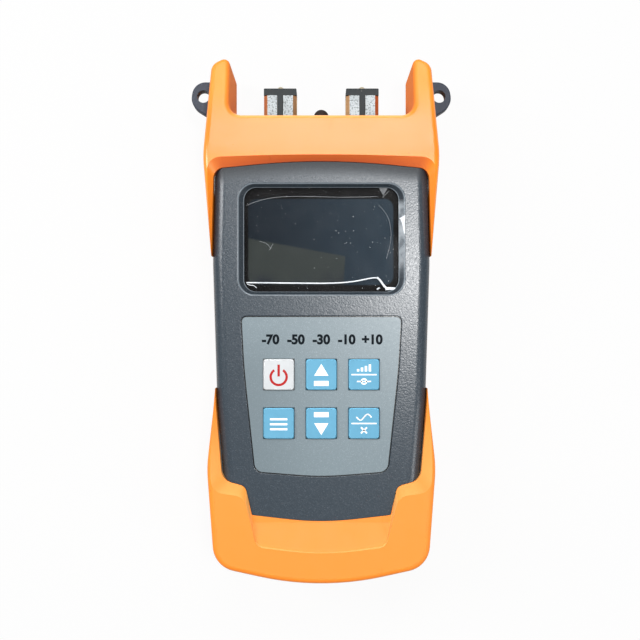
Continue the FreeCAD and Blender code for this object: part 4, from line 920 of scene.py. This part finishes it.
def makeFold(name, fold):
    # a thin, flattened ridge of gathered film that follows a smooth line, its milky white also a
    # painted highlight
    curve = bpy.data.curves.new("fold", "CURVE")
    curve.dimensions = "3D"
    curve.bevel_depth = fold["radius"] * mm
    curve.bevel_resolution = 2
    curve.resolution_u = 8
    curve.use_fill_caps = True
    spline = curve.splines.new("NURBS")
    spline.points.add(len(fold["line"]) - 1)
    for point, (x, y) in zip(spline.points, fold["line"]):
        point.co = (x * mm, y * mm, 0, 1)
    spline.order_u = 3
    spline.use_endpoint_u = True
    holder = bpy.data.objects.new("fold", curve)
    bpy.context.scene.collection.objects.link(holder)
    bpy.context.view_layer.update()
    mesh = bpy.data.meshes.new_from_object(holder)
    bpy.data.objects.remove(holder)
    work = bmesh.new()
    work.from_mesh(mesh)
    bpy.data.meshes.remove(mesh)
    bmesh.ops.scale(work, vec=(1, 1, film["foldFlat"]), verts=work.verts)
    bmesh.ops.translate(work, vec=overFilm(0, 0, film["wave"] * 2), verts=work.verts)
    return meshObject("film_fold_" + name, work, looks[fold["look"]].material, "case")


loose = makeFilm()
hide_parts("screen_film")
for name, fold in folds.items():
    makeFold(name, fold)

tab = {
    "radius": 1.9 * mm,
    "lean": math.radians(12),
    "right": 23.8 * mm,
    "under": 1.0 * mm,
    "rise": 0.5 * mm,
}


def makeTab():
    # the folded corner of the film that shows as a small triangle
    work = bmesh.new()
    made = bmesh.ops.create_circle(work, cap_ends=True, segments=3, radius=tab["radius"])["verts"]
    bmesh.ops.rotate(work, cent=(0, 0, 0), matrix=Matrix.Rotation(math.pi, 3, "Z"), verts=made)
    bmesh.ops.subdivide_edges(work, edges=work.edges[:], cuts=2, use_grid_fill=True)
    lean = Matrix.Rotation(tab["lean"], 3, "X")
    bmesh.ops.rotate(work, cent=(0, 0, 0), matrix=lean, verts=work.verts)
    place = overFilm(tab["right"], filmReach.y - tab["under"], tab["rise"])
    bmesh.ops.translate(work, vec=place, verts=work.verts)
    return meshObject("film_tab", work, looks["filmRim"].material, "case")


makeTab()

# pale strips that paint the sheen and glint on the window frame's right slope
edgeStrips = {
    "film_edge_sheen": {"size": (2.9 * mm, 33 * mm), "taper": 0.1, "skew": 0.0,
                  "lean": math.radians(39), "place": (30.75, -1.0, 1.32), "look": "filmEdgeSheen"},
    "film_glint": {"size": (2.7 * mm, 6.6 * mm), "taper": 0.8, "skew": 1.2 * mm,
                   "lean": math.radians(37), "place": (30.95, 5.4, 1.56), "look": "filmFoldHighlight"},
}


def makeEdgeStrip(name, strip):
    # film that lies against the right slope of the window frame, pale to paint that slope's sheen and
    # glint
    wide, long = strip["size"]
    work = bmesh.new()
    bmesh.ops.create_grid(work, x_segments=4, y_segments=14, size=0.5)
    bmesh.ops.scale(work, vec=(wide, long, 1), verts=work.verts)
    for vert in work.verts:
        down = 0.5 - vert.co.y / long
        narrow = 1 - strip["taper"] * down ** 0.6
        vert.co.x = wide / 2 - (wide / 2 - vert.co.x) * narrow
        vert.co.y += strip["skew"] * vert.co.x / wide * (1 - down)
        vert.co.z = waveHeight(vert.co.x, vert.co.y * 3)
    lean = Matrix.Rotation(-strip["lean"], 3, "Y")
    bmesh.ops.rotate(work, cent=(0, 0, 0), matrix=lean, verts=work.verts)
    bmesh.ops.translate(work, vec=filmMiddle + Vector(strip["place"]) * mm, verts=work.verts)
    return meshObject(name, work, looks[strip["look"]].material, "case")


for name, strip in edgeStrips.items():
    makeEdgeStrip(name, strip)

dust = {
    "seed": 11,
    "size": (0.05, 0.13),
    "length": (0.6, 1.6),
    "flat": 0.4,
    "rise": 0.12,
    "limit": (28.5, 18.8),
    # each drift: how many specks, its middle and its spread, in mm from the middle of the film
    "drifts": ((24, (13, 1), (6, 6.5)), (5, (-14, 9), (6, 5)), (9, (26, -5), (1.2, 7)),
               (10, (5, -18.3), (15, 0.4)), (5, (0, 0), (16, 10))),
}


def makeDust():
    # specks caught under the film, thick in a few drifts
    chance = random.Random(dust["seed"])
    work = bmesh.new()
    for count, middle, spread in dust["drifts"]:
        for speck in range(count):
            x = chance.gauss(middle[0], spread[0])
            y = chance.gauss(middle[1], spread[1])
            if abs(x) > dust["limit"][0] or abs(y) > dust["limit"][1]:
                continue
            radius = chance.uniform(*dust["size"]) * mm
            made = bmesh.ops.create_icosphere(work, subdivisions=1, radius=radius)["verts"]
            bmesh.ops.scale(work, vec=(chance.uniform(*dust["length"]), 1, dust["flat"]), verts=made)
            turned = Matrix.Rotation(chance.uniform(0, 3), 3, "Z")
            bmesh.ops.rotate(work, cent=(0, 0, 0), matrix=turned, verts=made)
            bmesh.ops.translate(work, vec=filmMiddle + Vector((x, y, dust["rise"])) * mm, verts=made)
    return meshObject("film_dust", work, looks["lint"].material, "case")


makeDust()
print("stage 4: film over the display")

# ---- prints on the keys

printed = {
    "proud": 0.03 * mm,
    "thick": 0.05 * mm,
    "divider": (9.6 * mm, 0.5 * mm),
}
triangle = {"radius": 3.15 * mm, "squash": 0.95}
# bars are given by length and height, and a rise is from the middle of the key
power = {
    "radius": 3.05 * mm,
    "width": 0.92 * mm,
    "gap": math.radians(66),
    "rise": -0.9 * mm,
    "stroke": 4.5 * mm,
    "strokeRise": 2.45 * mm,
}
arrows = {
    "bar": (5.6 * mm, 1.9 * mm),
    "up": {"triangle": 1.1 * mm, "bar": -3.35 * mm, "turn": 0.0},
    "down": {"triangle": -1.4 * mm, "bar": 3.35 * mm, "turn": math.pi},
}
stairs = {
    "heights": (0.9 * mm, 1.5 * mm, 2.1 * mm, 2.7 * mm),
    "pitch": 1.5 * mm,
    "width": 0.9 * mm,
    "rise": 1.2 * mm,
}
dial = {"radius": 1.0 * mm, "width": 0.5 * mm, "line": (5.4 * mm, 0.5 * mm), "rise": -2.6 * mm}
rows = {"count": 3, "bar": (6.6 * mm, 0.75 * mm), "pitch": 1.9 * mm, "rise": -0.3 * mm}
wave = {
    "length": 5.6 * mm,
    "height": 2.2 * mm,
    "line": 0.55 * mm,
    "rise": 2.4 * mm,
    "steps": 14,
    "overlap": 1.25,
}
diagonals = {"bar": (3.2 * mm, 0.6 * mm), "rise": -2.6 * mm}

inkWhite = printLook("inkWhite", rgb(246, 249, 252))
inkRed = printLook("inkRed", rgb(170, 26, 24), 0.2)
inkDark = printLook("inkDark", rgb(10, 18, 24), 0.06)


def inkHeight(surface):
    # the middle of the ink's thickness over a surface
    return surface + printed["proud"] - printed["thick"] / 2


def keyFace(name):
    low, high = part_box(name)
    return Vector(((low.x + high.x) / 2, (low.y + high.y) / 2, inkHeight(high.z)))


def inkBar(work, at, size, x=0.0, y=0.0, turn=0.0):
    addBar(work, (size[0], size[1], printed["thick"]), at + Vector((x, y, 0)), turn)


def inkRing(work, at, ring, start, sweep, steps):
    addArc(work, ring["radius"], ring["width"], printed["thick"], at, start, sweep, steps)


def trianglePrint(work, at, rise, turn):
    made = bmesh.ops.create_cone(work, cap_ends=True, segments=3, radius1=triangle["radius"],
                                 radius2=triangle["radius"], depth=printed["thick"])["verts"]
    bmesh.ops.scale(work, vec=(1, triangle["squash"], 1), verts=made)
    bmesh.ops.rotate(work, cent=(0, 0, 0), matrix=Matrix.Rotation(turn, 3, "Z"), verts=made)
    bmesh.ops.translate(work, vec=at + Vector((0, rise, 0)), verts=made)


def powerPrint(work, at):
    # an open ring with a stroke through its gap
    centre = at + Vector((0, power["rise"], 0))
    inkRing(work, centre, power, (math.pi + power["gap"]) / 2, 2 * math.pi - power["gap"], 56)
    inkBar(work, centre, (power["width"], power["stroke"]), y=power["strokeRise"])


def arrowPrint(work, at, arrow):
    trianglePrint(work, at, arrow["triangle"], arrow["turn"])
    inkBar(work, at, arrows["bar"], y=arrow["bar"])


def unitsPrint(work, at):
    # stairs over a divider, a small ring on a line under it
    inkBar(work, at, printed["divider"])
    for index, height in enumerate(stairs["heights"]):
        x = (index - (len(stairs["heights"]) - 1) / 2) * stairs["pitch"]
        inkBar(work, at, (stairs["width"], height), x, stairs["rise"] + height / 2)
    inkRing(work, at + Vector((0, dial["rise"], 0)), dial, 0.0, 2 * math.pi, 28)
    inkBar(work, at, dial["line"], y=dial["rise"])


def modePrint(work, at):
    for index in range(rows["count"]):
        inkBar(work, at, rows["bar"], y=(index - 1) * rows["pitch"] + rows["rise"])


def wavelengthPrint(work, at):
    # one period of a wave, drawn with short bars, over a divider, and a cross under it
    inkBar(work, at, printed["divider"])
    for step in range(wave["steps"]):
        ends = [(part / wave["steps"] - 0.5) * wave["length"] for part in (step, step + 1)]
        rises = [math.sin(2 * math.pi * end / wave["length"]) * wave["height"] / 2 for end in ends]
        run = Vector((ends[1] - ends[0], rises[1] - rises[0]))
        size = (run.length * wave["overlap"], wave["line"])
        middle = (sum(ends) / 2, sum(rises) / 2 + wave["rise"])
        inkBar(work, at, size, *middle, math.atan2(run.y, run.x))
    for turn in (math.pi / 4, -math.pi / 4):
        inkBar(work, at, diagonals["bar"], y=diagonals["rise"], turn=turn)


keyPrints = {
    "key_power": (powerPrint, inkRed),
    "key_up": (lambda work, at: arrowPrint(work, at, arrows["up"]), inkWhite),
    "key_down": (lambda work, at: arrowPrint(work, at, arrows["down"]), inkWhite),
    "key_units": (unitsPrint, inkWhite),
    "key_mode": (modePrint, inkWhite),
    "key_wavelength": (wavelengthPrint, inkWhite),
}
for name, (drawing, ink) in keyPrints.items():
    work = bmesh.new()
    drawing(work, keyFace(name))
    meshObject("print_" + name, work, ink.material, name, smooth=False)

# ---- printed range over the keys

scale = {
    "marks": ("-70", "-50", "-30", "-10", "+10"),
    "pitch": 9.7 * mm,
    "height": 3.5 * mm,
    "figureShare": 0.7,
    "heavier": 0.062,
    "place": (0.0, -7.4 * mm),
}


def flatText(words, height, name):
    # figures of the given height, made a little heavier than the plain letters
    letters = bpy.data.curves.new(name, "FONT")
    letters.body = words
    letters.size = height / scale["figureShare"]
    letters.align_x = "CENTER"
    letters.align_y = "CENTER"
    letters.extrude = printed["thick"] / 2
    letters.offset = height * scale["heavier"]
    letters.resolution_u = 6
    holder = bpy.data.objects.new(name, letters)
    bpy.context.scene.collection.objects.link(holder)
    bpy.context.view_layer.update()
    mesh = bpy.data.meshes.new_from_object(holder)
    bpy.data.objects.remove(holder)
    return mesh


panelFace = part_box("keypad_panel")[1].z
rangeWork = bmesh.new()
for index, words in enumerate(scale["marks"]):
    mesh = flatText(words, scale["height"], "mark")
    x = (index - 2) * scale["pitch"] + scale["place"][0]
    mesh.transform(Matrix.Translation((x, scale["place"][1], inkHeight(panelFace))))
    rangeWork.from_mesh(mesh)
    bpy.data.meshes.remove(mesh)
meshObject("range_print", rangeWork, inkDark.material, "case", smooth=False)
print("stage 5: prints")
